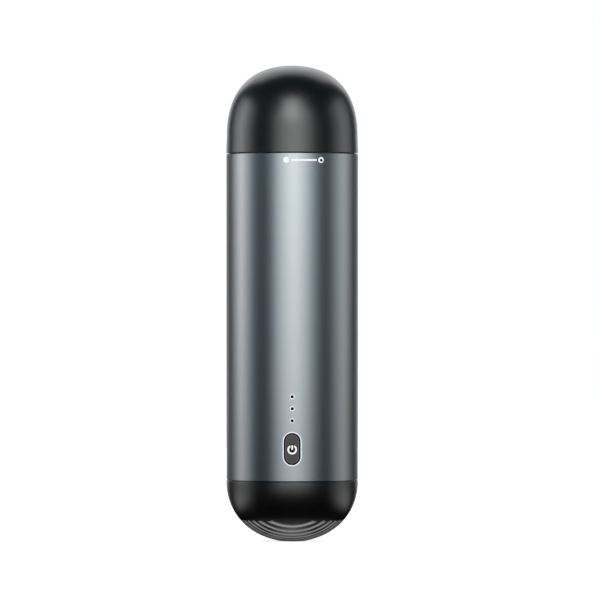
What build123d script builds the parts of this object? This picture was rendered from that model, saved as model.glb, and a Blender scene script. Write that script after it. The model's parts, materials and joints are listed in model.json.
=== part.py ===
from build123d import *
from math import cos, degrees, radians, sin, sqrt, tan
import os

# Capsule-shaped handheld vacuum cleaner, standing on its tail cap.
# Millimetres. Z is up, the origin is under the middle of the foot pad, and the power button faces -Y.

os.makedirs("parts", exist_ok=True)

# Outer shell
tube_radius = 32.7
tube_wall = 1.2
cap_step = 0.12
tail_seam = 30.35
seam_gap = 0.4
tube_edge = 0.3
cap_edge = 0.25

# Nozzle cap
nose_taper = 0.32
nose_skirt_height = 9.05
nose_dome_height = 34.55
nose_fullness = 0.6395
nose_wall = 1.8
nose_shoulder_thickness = 1.6
key_width = 3.0
key_height = 2.5
key_reach = 1.5

# Tail cap, its exhaust slots and its foot
tail_fullness = 0.598
tail_wall = 2.0
pole_below_floor = 0.35
spigot_wall = 2.0
spigot_height = 8.2
spigot_root = 3.0
vent_margin = 6.92
vent_pitch = 3.15
vent_width = 1.4
vent_rows = 16
foot_radius = 8.0
foot_thickness = 2.0
foot_edge = 0.3
foot_boss_wall = 2.0
foot_land = 0.3
foam_drop = 10.15
foam_thickness = 5.0
foam_ledge_width = 2.6
foam_ledge_thickness = 1.5

# Clearances
fit_gap = 0.05
loose_gap = 0.2
running_gap = 0.3
cut_past = 1.0

# Power button, charge lights and printed marks
button_lift = 16.25
button_opening_width = 8.15
button_opening_height = 15.7
opening_chamfer = 0.4
button_bevel = 0.5
button_inset = 0.1
button_travel = 0.5
button_flange_lip = 1.2
button_flange_thickness = 1.2
button_stem_radius = 2.0
ink_depth = 0.12
symbol_radius = 1.95
symbol_stroke = 0.93
symbol_gap_angle = 28.0
symbol_bar_length = 2.4
symbol_bar_top = 2.2
symbol_drop = 0.3
light_count = 3
light_pitch = 5.9
first_light_rise = 13.9
light_hole_radius = 0.75
light_inset = 0.1
mark_drop = 3.5
mark_dot_radius = 1.5
mark_ring_hole_radius = 0.6
mark_line_height = 0.95
mark_dot_angle = -5.25
mark_space = 2.4

# Twist lock between neck collar and dust cup
twist_angle = 31.0
collar_recess = 0.4
collar_height = 23.8
collar_wall = 2.45
ledge_thickness = 2.3
ledge_bore = 20.0
lug_count = 3
lug_angle = 8.0
lug_reach = 1.3
lug_height = 2.5
lug_drop = 7.3
track_play_angle = 1.5
front_angle = -90.0

# Dust cup and its nozzle
cup_wall = 1.6
cup_flange_thickness = 2.2
cup_shoulder_height = 11.0
cup_top_margin = 0.7
grip_ring_radius = 0.7
grip_ring_gap = 0.1
mouth_length = 34.0
mouth_width = 16.0
mouth_wall = 1.6
mouth_headroom = 6.4
mouth_rise = 11.0
mouth_depth = 17.0
mouth_flange_lip = 1.8
mouth_flange_thickness = 1.4
mouth_edge = 0.5
flap_thickness = 1.2
flap_overlap = 1.1
flap_knuckle_radius = 1.6
flap_knuckle_length = 15.0
flap_pin_radius = 0.75
flap_pin_length = 23.0
flap_pin_offset = 2.2
ear_thickness = 2.0
ear_height = 2.2

# Filter
gasket_thickness = 1.5
gasket_width = 6.0
gasket_inset = 0.5
frame_flange_thickness = 2.5
frame_spigot_height = 3.5
frame_spigot_wall = 1.5
frame_bore = 11.0
frame_core_wall = 1.4
frame_window_count = 6
frame_window_width = 5.0
frame_window_margin = 2.0
frame_disc_thickness = 1.5
filter_height = 15.7
pleat_count = 28
pleat_thickness = 0.6
dust_gap = 6.0
cage_gap = 0.8
cage_wall = 0.7
cage_columns = 14
cage_rows = 3
cage_window_width = 3.2
cage_window_height = 3.6

# Fan
fan_housing_height = 23.5
fan_housing_wall = 1.5
fan_top_thickness = 1.5
fan_eye_radius = 12.2
fan_lip_wall = 1.2
fan_lip_depth = 6.0
impeller_tip_gap = 3.45
impeller_back_thickness = 1.5
impeller_lift = 0.9
blade_count = 9
blade_height = 7.0
blade_thickness = 1.0
blade_inner_radius = 6.5
blade_sweep = 52.0
blade_middle_share = 0.45
shroud_thickness = 1.2
shroud_neck_radius = 11.4
shroud_neck_wall = 1.0
shroud_neck_height = 3.3
hub_radius = 6.0
diffuser_thickness = 1.5
diffuser_vane_count = 9
diffuser_vane_height = 2.1
diffuser_vane_thickness = 1.2
diffuser_vane_turn = 35.0
diffuser_bore = 11.5

# Motor
mount_thickness = 2.0
mount_window_count = 3
mount_window_angle = 70.0
mount_rim = 4.95
mount_window_depth = 8.0
column_radius = 2.0
column_inset = 2.85
can_radius = 13.8
can_length = 30.0
can_wall = 1.2
can_boss_radius = 5.0
can_boss_height = 1.6
shaft_radius = 1.6
shaft_tail = 0.5
bearing_radius = 3.5
bearing_length = 3.5
bell_thickness = 2.6
bell_boss_height = 2.0
magnet_thickness = 1.75
magnet_length = 22.0
magnet_angle = 140.0
air_gap = 0.6
core_length = 15.0
pole_count = 5
pole_shoe_angle = 58.0
pole_shoe_thickness = 2.2
pole_stem_width = 3.0
core_hub_radius = 4.6
coil_thickness = 1.6
coil_depth = 1.5
commutator_radius = 3.2
commutator_length = 3.7
commutator_slot_width = 0.4
commutator_slot_depth = 0.7
brush_width = 3.2
brush_height = 2.8
brush_length = 5.5
brush_gap = 0.1
terminal_width = 2.8
terminal_thickness = 0.5
terminal_length = 3.0
terminal_offset = 8.0
motor_screw_offset = 8.5
motor_screw_radius = 1.2
motor_screw_length = 4.5
motor_screw_head_radius = 2.2
motor_screw_head_height = 1.7
damper_wall = 2.1
damper_height = 6.0
damper_lift = 1.0

# Battery and its cradle
cell_radius = 9.2
cell_length = 65.2
cell_gap = 1.2
cell_button_radius = 3.0
cell_crimp_depth = 0.4
cell_crimp_width = 1.2
tab_thickness = 0.2
tab_width = 6.0
tab_reach = 14.0
cradle_plate_thickness = 1.7
cradle_side_thickness = 1.8
cradle_side_depth = 16.0
cradle_ring_wall = 1.8
cradle_window_angle = 56.0
cradle_window_depth = 9.0
cradle_rim = 3.3
motor_room = 5.1

# Control board
board_setback = 11.0
board_thickness = 1.2
board_side_gap = 2.53
board_lift = 1.75
board_height = 46.0
board_screw_inset = 1.9
board_screw_rise = 3.5
board_screw_drop = 4.0
arm_height = 5.0
arm_depth = 6.0
screw_radius = 0.9
screw_head_radius = 1.7
screw_head_height = 1.3
screw_length = 5.0
switch_width = 6.0
switch_height = 3.5
plunger_radius = 1.7
plunger_sink = 1.2
plunger_height = 1.0
light_chip_width = 3.0
light_chip_height = 2.0
light_chip_depth = 1.2
light_bar_lift = 2.9
light_bar_thickness = 1.5
light_bar_width = 4.0
light_bar_margin = 1.5
light_leg_radius = 0.9
chip_column = 10.5
controller_rise = 18.0
controller_width = 5.0
controller_depth = 0.9
transistor_rise = 15.0
transistor_width = 6.6
transistor_height = 6.1
transistor_depth = 2.3
inductor_rise = 32.0
inductor_width = 7.0
inductor_depth = 4.0
capacitor_rise = 30.0
capacitor_pitch = 4.0
capacitor_width = 3.2
capacitor_height = 1.6
capacitor_depth = 1.2
socket_rise = 6.0
socket_width = 5.0
socket_height = 4.0
socket_depth = 1.6

# Charge board and port
charge_board_thickness = 1.2
charge_board_width = 32.0
charge_board_start = 6.0
charge_screw_inset = 4.0
charge_screw_setback = 9.45
charge_post_radius = 2.2
port_width = 8.94
port_height = 3.16
port_depth = 7.35
port_wall = 0.3
port_setback = 0.9
tongue_width = 6.7
tongue_thickness = 0.7
tongue_length = 5.0
bezel_width = 12.4
bezel_height = 6.4
bezel_inset = 0.1
bezel_lip = 1.0
bezel_lip_thickness = 0.9

# Leads
lead_radius = 0.7
lead_bend = 2.2
motor_lead_spacing = 4.0
lead_overlap_on_board = 4.0

# Radii that follow from the sizes above
tube_bore = tube_radius - tube_wall
cap_radius = tube_radius + cap_step
nose_dome_radius = cap_radius - nose_taper
nose_bore = cap_radius - nose_wall
fitted_radius = tube_bore - fit_gap
spigot_bore = fitted_radius - spigot_wall
vent_circle_radius = cap_radius - vent_margin

collar_bore = fitted_radius - collar_wall
plug_radius = collar_bore - running_gap
cup_bore = plug_radius - cup_wall
cup_flange_radius = nose_bore - running_gap
cup_top_radius = mouth_length / 2 + mouth_flange_lip + cup_top_margin
cage_radius = cup_bore - dust_gap
pleat_outer = cage_radius - cage_wall - cage_gap

impeller_radius = fitted_radius - fan_housing_wall - impeller_tip_gap
window_outer_radius = fitted_radius - mount_rim
window_inner_radius = window_outer_radius - mount_window_depth
column_circle = fitted_radius - column_inset
shaft_hole = shaft_radius + fit_gap
can_bore = can_radius - can_wall
damper_radius = can_radius + fit_gap + damper_wall
cradle_radius = tube_bore - loose_gap
cradle_window_outer = cradle_radius - cradle_rim
cradle_window_inner = cradle_window_outer - cradle_window_depth
cell_spacing = 2 * cell_radius + cell_gap
side_inner = cell_spacing / 2 + cell_radius + 2 * fit_gap
side_outer = side_inner + cradle_side_thickness

# Levels that follow from the sizes above, from the floor up
tail_rim = tail_seam - seam_gap / 2
tube_bottom = tail_seam + seam_gap / 2
foam_level = tail_rim - foam_drop
spigot_top = tail_rim + spigot_height
port_board_top = spigot_top - port_height - 2 * fit_gap
port_level = port_board_top + port_height / 2

cradle_bottom = spigot_top
cell_bottom = cradle_bottom + cradle_plate_thickness + tab_thickness
cell_top = cell_bottom + cell_length
cradle_roof = cell_top + tab_thickness + fit_gap
cradle_top = cradle_roof + cradle_plate_thickness
board_bottom = cell_bottom + board_lift
board_top = board_bottom + board_height
board_screw_levels = [board_bottom + board_screw_rise, board_top - board_screw_drop]
button_level = tail_seam + button_lift
light_levels = [button_level + first_light_rise + light * light_pitch for light in range(light_count)]

can_bottom = cradle_top + motor_room
bell_boss_bottom = can_bottom - bell_boss_height
bell_top = can_bottom + bell_thickness
shaft_bottom = bell_boss_bottom - shaft_tail
damper_bottom = can_bottom + damper_lift
mount_bottom = can_bottom + can_length
housing_bottom = mount_bottom + mount_thickness
diffuser_bottom = housing_bottom + diffuser_vane_height
impeller_bottom = diffuser_bottom + diffuser_thickness + impeller_lift
blade_bottom = impeller_bottom + impeller_back_thickness
shroud_bottom = blade_bottom + blade_height
shaft_top = shroud_bottom

collar_bottom = housing_bottom + fan_housing_height
collar_top = collar_bottom + collar_height
ledge_top = collar_bottom + ledge_thickness
frame_bottom = ledge_top + gasket_thickness
cup_bottom = frame_bottom + frame_flange_thickness
frame_disc_bottom = cup_bottom + filter_height
lug_bottom = collar_top - lug_drop - lug_height
cup_flange_top = collar_top + cup_flange_thickness
tube_top = collar_top + collar_recess
mark_level = tube_top - mark_drop

nose_rim = tube_top + seam_gap
nose_dome_bottom = nose_rim + nose_skirt_height
total_height = nose_dome_bottom + nose_dome_height
mouth_top_level = total_height - nose_wall - mouth_headroom
mouth_bottom_level = mouth_top_level - mouth_depth
cup_top_level = mouth_top_level - mouth_rise
cup_shoulder_level = cup_top_level - cup_shoulder_height

# Places of the button, the boards and the port
button_width = button_opening_width - 2 * running_gap
button_height = button_opening_height - 2 * running_gap
flange_width = button_opening_width + 2 * button_flange_lip
flange_height = button_opening_height + 2 * button_flange_lip
flange_front = sqrt(tube_bore**2 - (flange_width / 2) ** 2) - running_gap
flange_back = flange_front - button_flange_thickness
face_radius = tube_radius - button_inset
button_notch_half = flange_width / 2 + running_gap
button_notch_bottom = button_level - flange_height / 2 - running_gap
button_notch_depth = flange_back - button_travel - running_gap

board_distance = tube_bore - board_setback
board_front = board_distance + board_thickness
board_width = 2 * (sqrt(tube_bore**2 - board_front**2) - board_side_gap)
board_screw_x = board_width / 2 - board_screw_inset
charge_screw_x = charge_board_width / 2 - charge_screw_inset
charge_screw_y = spigot_bore - charge_screw_setback
port_front = tube_radius - port_setback


def front(distance):
    """A plane that faces the front, this far in front of the axis."""
    return Plane.XZ.offset(distance)


def back(distance):
    """A plane that faces the back, this far behind the axis."""
    return Plane(origin=(0, distance, 0), x_dir=(-1, 0, 0), z_dir=(0, 1, 0))


def ring(outer, inner, bottom, height, mode=Mode.ADD):
    """A plain upright ring about the axis."""
    with BuildSketch(Plane.XY.offset(bottom)) as section:
        Circle(outer)
        Circle(inner, mode=Mode.SUBTRACT)
    extrude(section.sketch, amount=height, mode=mode)


def disc(radius, bottom, height, mode=Mode.ADD):
    """A plain upright disc about the axis."""
    with BuildSketch(Plane.XY.offset(bottom)) as section:
        Circle(radius)
    extrude(section.sketch, amount=height, mode=mode)


def sector(outer, inner, start, sweep, bottom, height, mode=Mode.ADD):
    """A piece of an upright ring, from a start angle through a sweep, in degrees."""
    with BuildSketch(Plane.XY.offset(bottom)) as section:
        with BuildLine():
            outside = CenterArc((0, 0), outer, start, sweep)
            inside = CenterArc((0, 0), inner, start, sweep)
            Line(outside @ 0, inside @ 0)
            Line(outside @ 1, inside @ 1)
        make_face()
    extrude(section.sketch, amount=height, mode=mode)


def block(low, high, mode=Mode.ADD):
    """A box between two corners."""
    size = [far - near for near, far in zip(low, high)]
    middle = tuple((far + near) / 2 for near, far in zip(low, high))
    with Locations(middle):
        Box(*size, mode=mode)


def pad(plane, middle, width, height, amount, mode=Mode.ADD):
    """A plate with round ends, upright where its height is the larger size."""
    with BuildSketch(plane) as section:
        with Locations(middle):
            if width > height:
                SlotOverall(width, height)
            else:
                SlotOverall(height, width, rotation=90)
    extrude(section.sketch, amount=amount, mode=mode)


def rod(plane, middle, radius, amount, mode=Mode.ADD):
    """A round rod that stands on a plane."""
    with BuildSketch(plane) as section:
        with Locations(middle):
            Circle(radius)
    extrude(section.sketch, amount=amount, mode=mode)


def dome_radius(radius, height, fullness, level):
    """The radius of a dome at a level above its open end: its profile is one cubic curve."""
    low = 0.0
    high = 1.0
    for step in range(40):
        t = (low + high) / 2
        here = 3 * (1 - t) ** 2 * t * fullness * height + 3 * (1 - t) * t**2 * height + t**3 * height
        if here < level:
            low = t
        else:
            high = t
    return radius * ((1 - t) ** 3 + 3 * (1 - t) ** 2 * t + 3 * (1 - t) * t**2 * fullness)


def tail_dome(wall, mode):
    """The solid under the tail cap's outer or inner surface, as far in as a wall thickness."""
    radius = cap_radius - wall
    depth = tail_rim + pole_below_floor - wall
    with BuildSketch(Plane.XZ) as section:
        with BuildLine():
            Bezier(
                (radius, tail_rim),
                (radius, tail_rim - tail_fullness * depth),
                (tail_fullness * radius, tail_rim - depth),
                (0, tail_rim - depth),
            )
            Polyline((0, tail_rim - depth), (0, tail_rim), (radius, tail_rim))
        make_face()
    revolve(section.sketch, axis=Axis.Z, mode=mode)


def nose_dome(wall, mode):
    """The solid under the nozzle cap's outer or inner surface, as far in as a wall thickness."""
    radius = nose_dome_radius - wall
    depth = nose_dome_height - wall
    with BuildSketch(Plane.XZ) as section:
        with BuildLine():
            Polyline(
                (0, nose_dome_bottom + depth),
                (0, nose_rim),
                (cap_radius - wall, nose_rim),
                (radius, nose_dome_bottom),
            )
            Bezier(
                (radius, nose_dome_bottom),
                (radius, nose_dome_bottom + nose_fullness * depth),
                (nose_fullness * radius, nose_dome_bottom + depth),
                (0, nose_dome_bottom + depth),
            )
        make_face()
    revolve(section.sketch, axis=Axis.Z, mode=mode)


def tail_radius(level):
    """The radius of the tail cap's inner surface at a level above the floor."""
    depth = tail_rim + pole_below_floor - tail_wall
    return dome_radius(cap_radius - tail_wall, depth, tail_fullness, tail_rim - level)


def save(piece, name):
    """Name a finished piece and write it."""
    piece.part.label = name
    export_step(piece.part, f"parts/{name}.step")


# The printed lock marks: a filled dot for locked, a ring for unlocked, and a line between them


def lock_marks_shape(grow, inner, outer):
    """The marks as thin solids between two radii, each grown by a little for its recess."""
    dot_angle = front_angle + mark_dot_angle
    ring_angle = dot_angle + twist_angle
    line_start = dot_angle + degrees(mark_space / tube_radius)
    line_end = ring_angle - degrees(mark_space / tube_radius)
    with BuildPart() as marks:
        for angle in (dot_angle, ring_angle):
            outward = (cos(radians(angle)), sin(radians(angle)), 0)
            rod(Plane(origin=(0, 0, mark_level), z_dir=outward), (0, 0), mark_dot_radius + grow, cap_radius)
        outward = (cos(radians(ring_angle)), sin(radians(ring_angle)), 0)
        hole_plane = Plane(origin=(0, 0, mark_level), z_dir=outward)
        rod(hole_plane, (0, 0), mark_ring_hole_radius - grow, cap_radius, mode=Mode.SUBTRACT)
        height = mark_line_height + 2 * grow
        ring(outer, inner, mark_level - cap_radius, 2 * cap_radius, mode=Mode.INTERSECT)
        sector(outer, inner, line_start, line_end - line_start, mark_level - height / 2, height)
    return marks


lock_marks = lock_marks_shape(0, tube_radius - ink_depth, tube_radius)
save(lock_marks, "lock_marks")
mark_recess = lock_marks_shape(fit_gap, tube_radius - ink_depth, cap_radius)

# Body tube

with BuildPart() as body_tube:
    ring(tube_radius, tube_bore, tube_bottom, tube_top - tube_bottom)
    chamfer(body_tube.edges().filter_by(GeomType.CIRCLE).sort_by(SortBy.RADIUS)[-2:], tube_edge)
    pad(
        front(tube_bore / 2),
        (0, button_level),
        button_opening_width,
        button_opening_height,
        tube_bore,
        mode=Mode.SUBTRACT,
    )
    opening_edges = body_tube.edges(Select.LAST)
    outer_edges = [
        edge
        for edge in opening_edges
        if all(
            abs(sqrt((edge @ end).X ** 2 + (edge @ end).Y ** 2) - tube_radius) < fit_gap / 10
            for end in (0, 1)
        )
    ]
    chamfer(outer_edges, opening_chamfer)
    for level in light_levels:
        rod(front(tube_bore / 2), (0, level), light_hole_radius, tube_bore, mode=Mode.SUBTRACT)
    pad(
        back(tube_bore / 2),
        (0, port_level),
        bezel_width + 2 * fit_gap,
        bezel_height + 2 * fit_gap,
        tube_bore,
        mode=Mode.SUBTRACT,
    )
    add(mark_recess.part, mode=Mode.SUBTRACT)
save(body_tube, "body_tube")

# Tail cap, with its spigot, foam ledge, foot recess and straight exhaust slots

ledge_reach = tail_radius(foam_level - foam_ledge_thickness) + tail_wall / 2
foam_radius = min(tail_radius(foam_level), spigot_bore) - running_gap
notch_half_width = bezel_width / 2 + bezel_lip + running_gap
notch_bottom = port_level - bezel_height / 2 - bezel_lip - running_gap

with BuildPart() as tail_cap:
    tail_dome(0, Mode.ADD)
    chamfer(tail_cap.edges().filter_by(GeomType.CIRCLE).sort_by(SortBy.RADIUS)[-1], cap_edge)
    tail_dome(tail_wall, Mode.SUBTRACT)
    ring(fitted_radius, spigot_bore, tail_rim - spigot_root, spigot_root + spigot_height)
    ring(
        ledge_reach,
        foam_radius - foam_ledge_width,
        foam_level - foam_ledge_thickness,
        foam_ledge_thickness,
    )
    disc(foot_radius + foot_boss_wall, foot_thickness / 2, foot_thickness / 2 + foot_boss_wall)
    disc(foot_radius + fit_gap, -pole_below_floor, foot_thickness + pole_below_floor, mode=Mode.SUBTRACT)
    with BuildSketch(Plane.XY.offset(-pole_below_floor)) as vent_slots:
        for row in range(vent_rows):
            place = (row - (vent_rows - 1) / 2) * vent_pitch
            half_chord = sqrt(max(vent_circle_radius**2 - place**2, vent_width**2))
            with Locations((0, place)):
                SlotOverall(2 * half_chord, vent_width)
        Circle(foot_radius + foot_boss_wall + foot_land, mode=Mode.SUBTRACT)
    extrude(vent_slots.sketch, amount=foam_level - foam_ledge_thickness, mode=Mode.SUBTRACT)
    block(
        (-notch_half_width, 0, notch_bottom),
        (notch_half_width, cap_radius, spigot_top + cut_past),
        mode=Mode.SUBTRACT,
    )
    block(
        (-button_notch_half, -cap_radius, button_notch_bottom),
        (button_notch_half, -button_notch_depth, button_notch_bottom + flange_height),
        mode=Mode.SUBTRACT,
    )
save(tail_cap, "tail_cap")

with BuildPart() as foot_pad:
    disc(foot_radius, 0, foot_thickness)
    chamfer(foot_pad.edges().group_by(Axis.Z)[0], foot_edge)
save(foot_pad, "foot_pad")

with BuildPart() as exhaust_foam:
    disc(foam_radius, foam_level, foam_thickness)
save(exhaust_foam, "exhaust_foam")

# Nozzle cap, which drops over the dust cup's flange and is keyed to it

with BuildPart() as nozzle_cap:
    nose_dome(0, Mode.ADD)
    chamfer(nozzle_cap.edges().filter_by(GeomType.CIRCLE).sort_by(SortBy.RADIUS)[-1], cap_edge)
    nose_dome(nose_wall, Mode.SUBTRACT)
    ring(
        nose_dome_radius - nose_wall / 2,
        plug_radius + running_gap,
        cup_flange_top,
        nose_shoulder_thickness,
    )
    key_clear = key_width / 2 + running_gap
    block(
        (-nose_bore, -key_clear, cup_flange_top - cut_past),
        (nose_bore, key_clear, cup_flange_top + nose_shoulder_thickness + cut_past),
        mode=Mode.SUBTRACT,
    )
save(nozzle_cap, "nozzle_cap")

# Neck collar with the bayonet tracks and the ledge that the filter seals on

lug_starts = [front_angle + turn * 360 / lug_count - lug_angle / 2 for turn in range(lug_count)]
track_radius = plug_radius + lug_reach + running_gap
track_bottom = lug_bottom - running_gap
track_height = lug_height + 2 * running_gap

with BuildPart() as neck_collar:
    ring(fitted_radius, collar_bore, collar_bottom, collar_height)
    ring(fitted_radius, ledge_bore, collar_bottom, ledge_thickness)
    for lug_start in lug_starts:
        track_start = lug_start - track_play_angle
        track_sweep = lug_angle + 2 * track_play_angle
        sector(
            track_radius,
            collar_bore - fit_gap,
            track_start,
            track_sweep + twist_angle,
            track_bottom,
            track_height,
            mode=Mode.SUBTRACT,
        )
        sector(
            track_radius,
            collar_bore - fit_gap,
            track_start + twist_angle,
            track_sweep,
            track_bottom,
            collar_top - track_bottom + cut_past,
            mode=Mode.SUBTRACT,
        )
save(neck_collar, "neck_collar")

# Dust cup

shoulder_reach = plug_radius - cup_top_radius
grip_ring_circle = nose_bore - grip_ring_gap - grip_ring_radius
grip_ring_level = collar_top + cup_flange_thickness / 2

with BuildPart() as dust_cup:
    with BuildSketch(Plane.XZ):
        with BuildLine():
            shoulder_middle = (cup_top_radius, cup_shoulder_level)
            EllipticalCenterArc(shoulder_middle, shoulder_reach, cup_shoulder_height, arc_size=90)
            EllipticalCenterArc(
                shoulder_middle,
                shoulder_reach - cup_wall,
                cup_shoulder_height - cup_wall,
                arc_size=90,
            )
            Polyline(
                (plug_radius, cup_shoulder_level),
                (plug_radius, cup_flange_top),
                (cup_flange_radius, cup_flange_top),
                (cup_flange_radius, collar_top),
                (plug_radius, collar_top),
                (plug_radius, cup_bottom),
                (cup_bore, cup_bottom),
                (cup_bore, cup_shoulder_level),
            )
            Polyline(
                (cup_top_radius, cup_top_level),
                (0, cup_top_level),
                (0, cup_top_level - cup_wall),
                (cup_top_radius, cup_top_level - cup_wall),
            )
        make_face()
    revolve(axis=Axis.Z)
    pad(
        Plane.XY.offset(cup_top_level - 2 * cup_wall),
        (0, 0),
        mouth_length + 2 * fit_gap,
        mouth_width + 2 * fit_gap,
        3 * cup_wall,
        mode=Mode.SUBTRACT,
    )
    for lug_start in lug_starts:
        sector(
            plug_radius + lug_reach,
            plug_radius - cup_wall / 2,
            lug_start,
            lug_angle,
            lug_bottom,
            lug_height,
        )
    for side in (-1, 1):
        near = side * (plug_radius - cup_wall / 2)
        far = side * (plug_radius + key_reach)
        block(
            (min(near, far), -key_width / 2, cup_flange_top),
            (max(near, far), key_width / 2, cup_flange_top + key_height),
        )
    with BuildSketch(Plane.XZ) as groove:
        with Locations((grip_ring_circle, grip_ring_level)):
            Circle(grip_ring_radius + fit_gap)
    revolve(groove.sketch, axis=Axis.Z, mode=Mode.SUBTRACT)
save(dust_cup, "dust_cup")

with BuildPart() as grip_ring:
    with BuildSketch(Plane.XZ):
        with Locations((grip_ring_circle, grip_ring_level)):
            Circle(grip_ring_radius)
    revolve(axis=Axis.Z)
save(grip_ring, "grip_ring")

# Nozzle mouth with its two hinge ears, the flap and its pin

pin_y = mouth_width / 2 + flap_pin_offset
flap_top = mouth_bottom_level - running_gap
flap_bottom = flap_top - flap_thickness
pin_level = (flap_top + flap_bottom) / 2
ear_inner = flap_knuckle_length / 2 + running_gap
ear_reach = pin_y + flap_knuckle_radius

with BuildPart() as nozzle_mouth:
    pad(
        Plane.XY.offset(mouth_bottom_level),
        (0, 0),
        mouth_length,
        mouth_width,
        mouth_top_level - mouth_bottom_level,
    )
    pad(
        Plane.XY.offset(cup_top_level),
        (0, 0),
        mouth_length + 2 * mouth_flange_lip,
        mouth_width + 2 * mouth_flange_lip,
        mouth_flange_thickness,
    )
    fillet(nozzle_mouth.edges().group_by(Axis.Z)[-1], mouth_edge)
    pad(
        Plane.XY.offset(mouth_bottom_level - cut_past),
        (0, 0),
        mouth_length - 2 * mouth_wall,
        mouth_width - 2 * mouth_wall,
        mouth_top_level - mouth_bottom_level + 2 * cut_past,
        mode=Mode.SUBTRACT,
    )
    for side in (-1, 1):
        near = side * ear_inner
        far = side * (ear_inner + ear_thickness)
        block(
            (min(near, far), mouth_width / 2 - mouth_wall / 2, mouth_bottom_level),
            (max(near, far), ear_reach, mouth_bottom_level + ear_height),
        )
        block(
            (min(near, far), pin_y - flap_knuckle_radius, pin_level - flap_knuckle_radius),
            (max(near, far), ear_reach, mouth_bottom_level),
        )
    rod(
        Plane.YZ.offset(-mouth_length),
        (pin_y, pin_level),
        flap_pin_radius + fit_gap,
        2 * mouth_length,
        mode=Mode.SUBTRACT,
    )
save(nozzle_mouth, "nozzle_mouth")

with BuildPart() as flap_pin:
    rod(Plane.YZ.offset(-flap_pin_length / 2), (pin_y, pin_level), flap_pin_radius, flap_pin_length)
save(flap_pin, "flap_pin")

with BuildPart() as inlet_flap:
    pad(
        Plane.XY.offset(flap_bottom),
        (0, 0),
        mouth_length - 2 * mouth_wall + 2 * flap_overlap,
        mouth_width - 2 * mouth_wall + 2 * flap_overlap,
        flap_thickness,
    )
    block(
        (-flap_knuckle_length / 2, 0, flap_bottom),
        (flap_knuckle_length / 2, pin_y, flap_top),
    )
    rod(
        Plane.YZ.offset(-flap_knuckle_length / 2),
        (pin_y, pin_level),
        flap_knuckle_radius,
        flap_knuckle_length,
    )
    rod(
        Plane.YZ.offset(-mouth_length),
        (pin_y, pin_level),
        flap_pin_radius + fit_gap,
        2 * mouth_length,
        mode=Mode.SUBTRACT,
    )
save(inlet_flap, "inlet_flap")

# Filter: gasket, frame, pleated paper and the cage round it

gasket_radius = plug_radius - gasket_inset
core_radius = frame_bore + frame_core_wall
pleat_inner = core_radius + loose_gap
window_height = filter_height - 2 * frame_window_margin

with BuildPart() as filter_gasket:
    ring(gasket_radius, gasket_radius - gasket_width, ledge_top, gasket_thickness)
save(filter_gasket, "filter_gasket")

with BuildPart() as filter_frame:
    ring(plug_radius, frame_bore, frame_bottom, frame_flange_thickness)
    ring(cup_bore - fit_gap, cup_bore - fit_gap - frame_spigot_wall, cup_bottom, frame_spigot_height)
    ring(core_radius, frame_bore, cup_bottom, filter_height)
    with PolarLocations(core_radius, frame_window_count):
        with Locations((0, 0, cup_bottom + filter_height / 2)):
            Box(2 * core_radius, frame_window_width, window_height, mode=Mode.SUBTRACT)
    disc(cage_radius, frame_disc_bottom, frame_disc_thickness)
save(filter_frame, "filter_frame")


def zigzag(outer, inner):
    """The corner points of a star with one point for each pleat."""
    half_step = 180 / pleat_count
    return [
        (
            (outer, inner)[corner % 2] * cos(radians(corner * half_step)),
            (outer, inner)[corner % 2] * sin(radians(corner * half_step)),
        )
        for corner in range(2 * pleat_count)
    ]


with BuildPart() as filter_pleats:
    with BuildSketch(Plane.XY.offset(cup_bottom)):
        with BuildLine():
            Polyline(*zigzag(pleat_outer, pleat_inner + pleat_thickness), close=True)
        make_face()
        with BuildLine(mode=Mode.PRIVATE) as inside:
            Polyline(*zigzag(pleat_outer - 2 * pleat_thickness, pleat_inner), close=True)
        make_face(inside.edges(), mode=Mode.SUBTRACT)
    extrude(amount=filter_height)
save(filter_pleats, "filter_pleats")

with BuildPart() as filter_cage:
    ring(cage_radius, cage_radius - cage_wall, cup_bottom, filter_height)
    row_step = filter_height / cage_rows
    for row in range(cage_rows):
        with PolarLocations(cage_radius, cage_columns):
            with Locations((0, 0, cup_bottom + (row + 0.5) * row_step)):
                Box(4 * cage_wall, cage_window_width, cage_window_height, mode=Mode.SUBTRACT)
save(filter_cage, "filter_cage")

# Fan housing, diffuser and impeller

with BuildPart() as fan_housing:
    ring(fitted_radius, fitted_radius - fan_housing_wall, housing_bottom, fan_housing_height)
    ring(fitted_radius, fan_eye_radius, collar_bottom - fan_top_thickness, fan_top_thickness)
    ring(
        fan_eye_radius + fan_lip_wall,
        fan_eye_radius,
        collar_bottom - fan_top_thickness - fan_lip_depth,
        fan_lip_depth,
    )
save(fan_housing, "fan_housing")

window_starts = [
    front_angle + turn * 360 / mount_window_count - mount_window_angle / 2
    for turn in range(mount_window_count)
]
diffuser_radius = fitted_radius - fan_housing_wall - fit_gap

with BuildPart() as diffuser:
    ring(diffuser_radius, diffuser_bore, diffuser_bottom, diffuser_thickness)
    for window_start in window_starts:
        sector(
            window_outer_radius,
            window_inner_radius,
            window_start,
            mount_window_angle,
            diffuser_bottom,
            diffuser_thickness,
            mode=Mode.SUBTRACT,
        )
    vane_length = diffuser_radius - window_outer_radius
    with PolarLocations((diffuser_radius + window_outer_radius) / 2, diffuser_vane_count):
        vane_middle = (0, 0, housing_bottom + diffuser_vane_height / 2)
        with Locations(Location(vane_middle, (0, 0, diffuser_vane_turn))):
            Box(vane_length, diffuser_vane_thickness, diffuser_vane_height)
    ring(diffuser_bore + diffuser_vane_thickness, diffuser_bore, housing_bottom, diffuser_vane_height)
save(diffuser, "diffuser")

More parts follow.
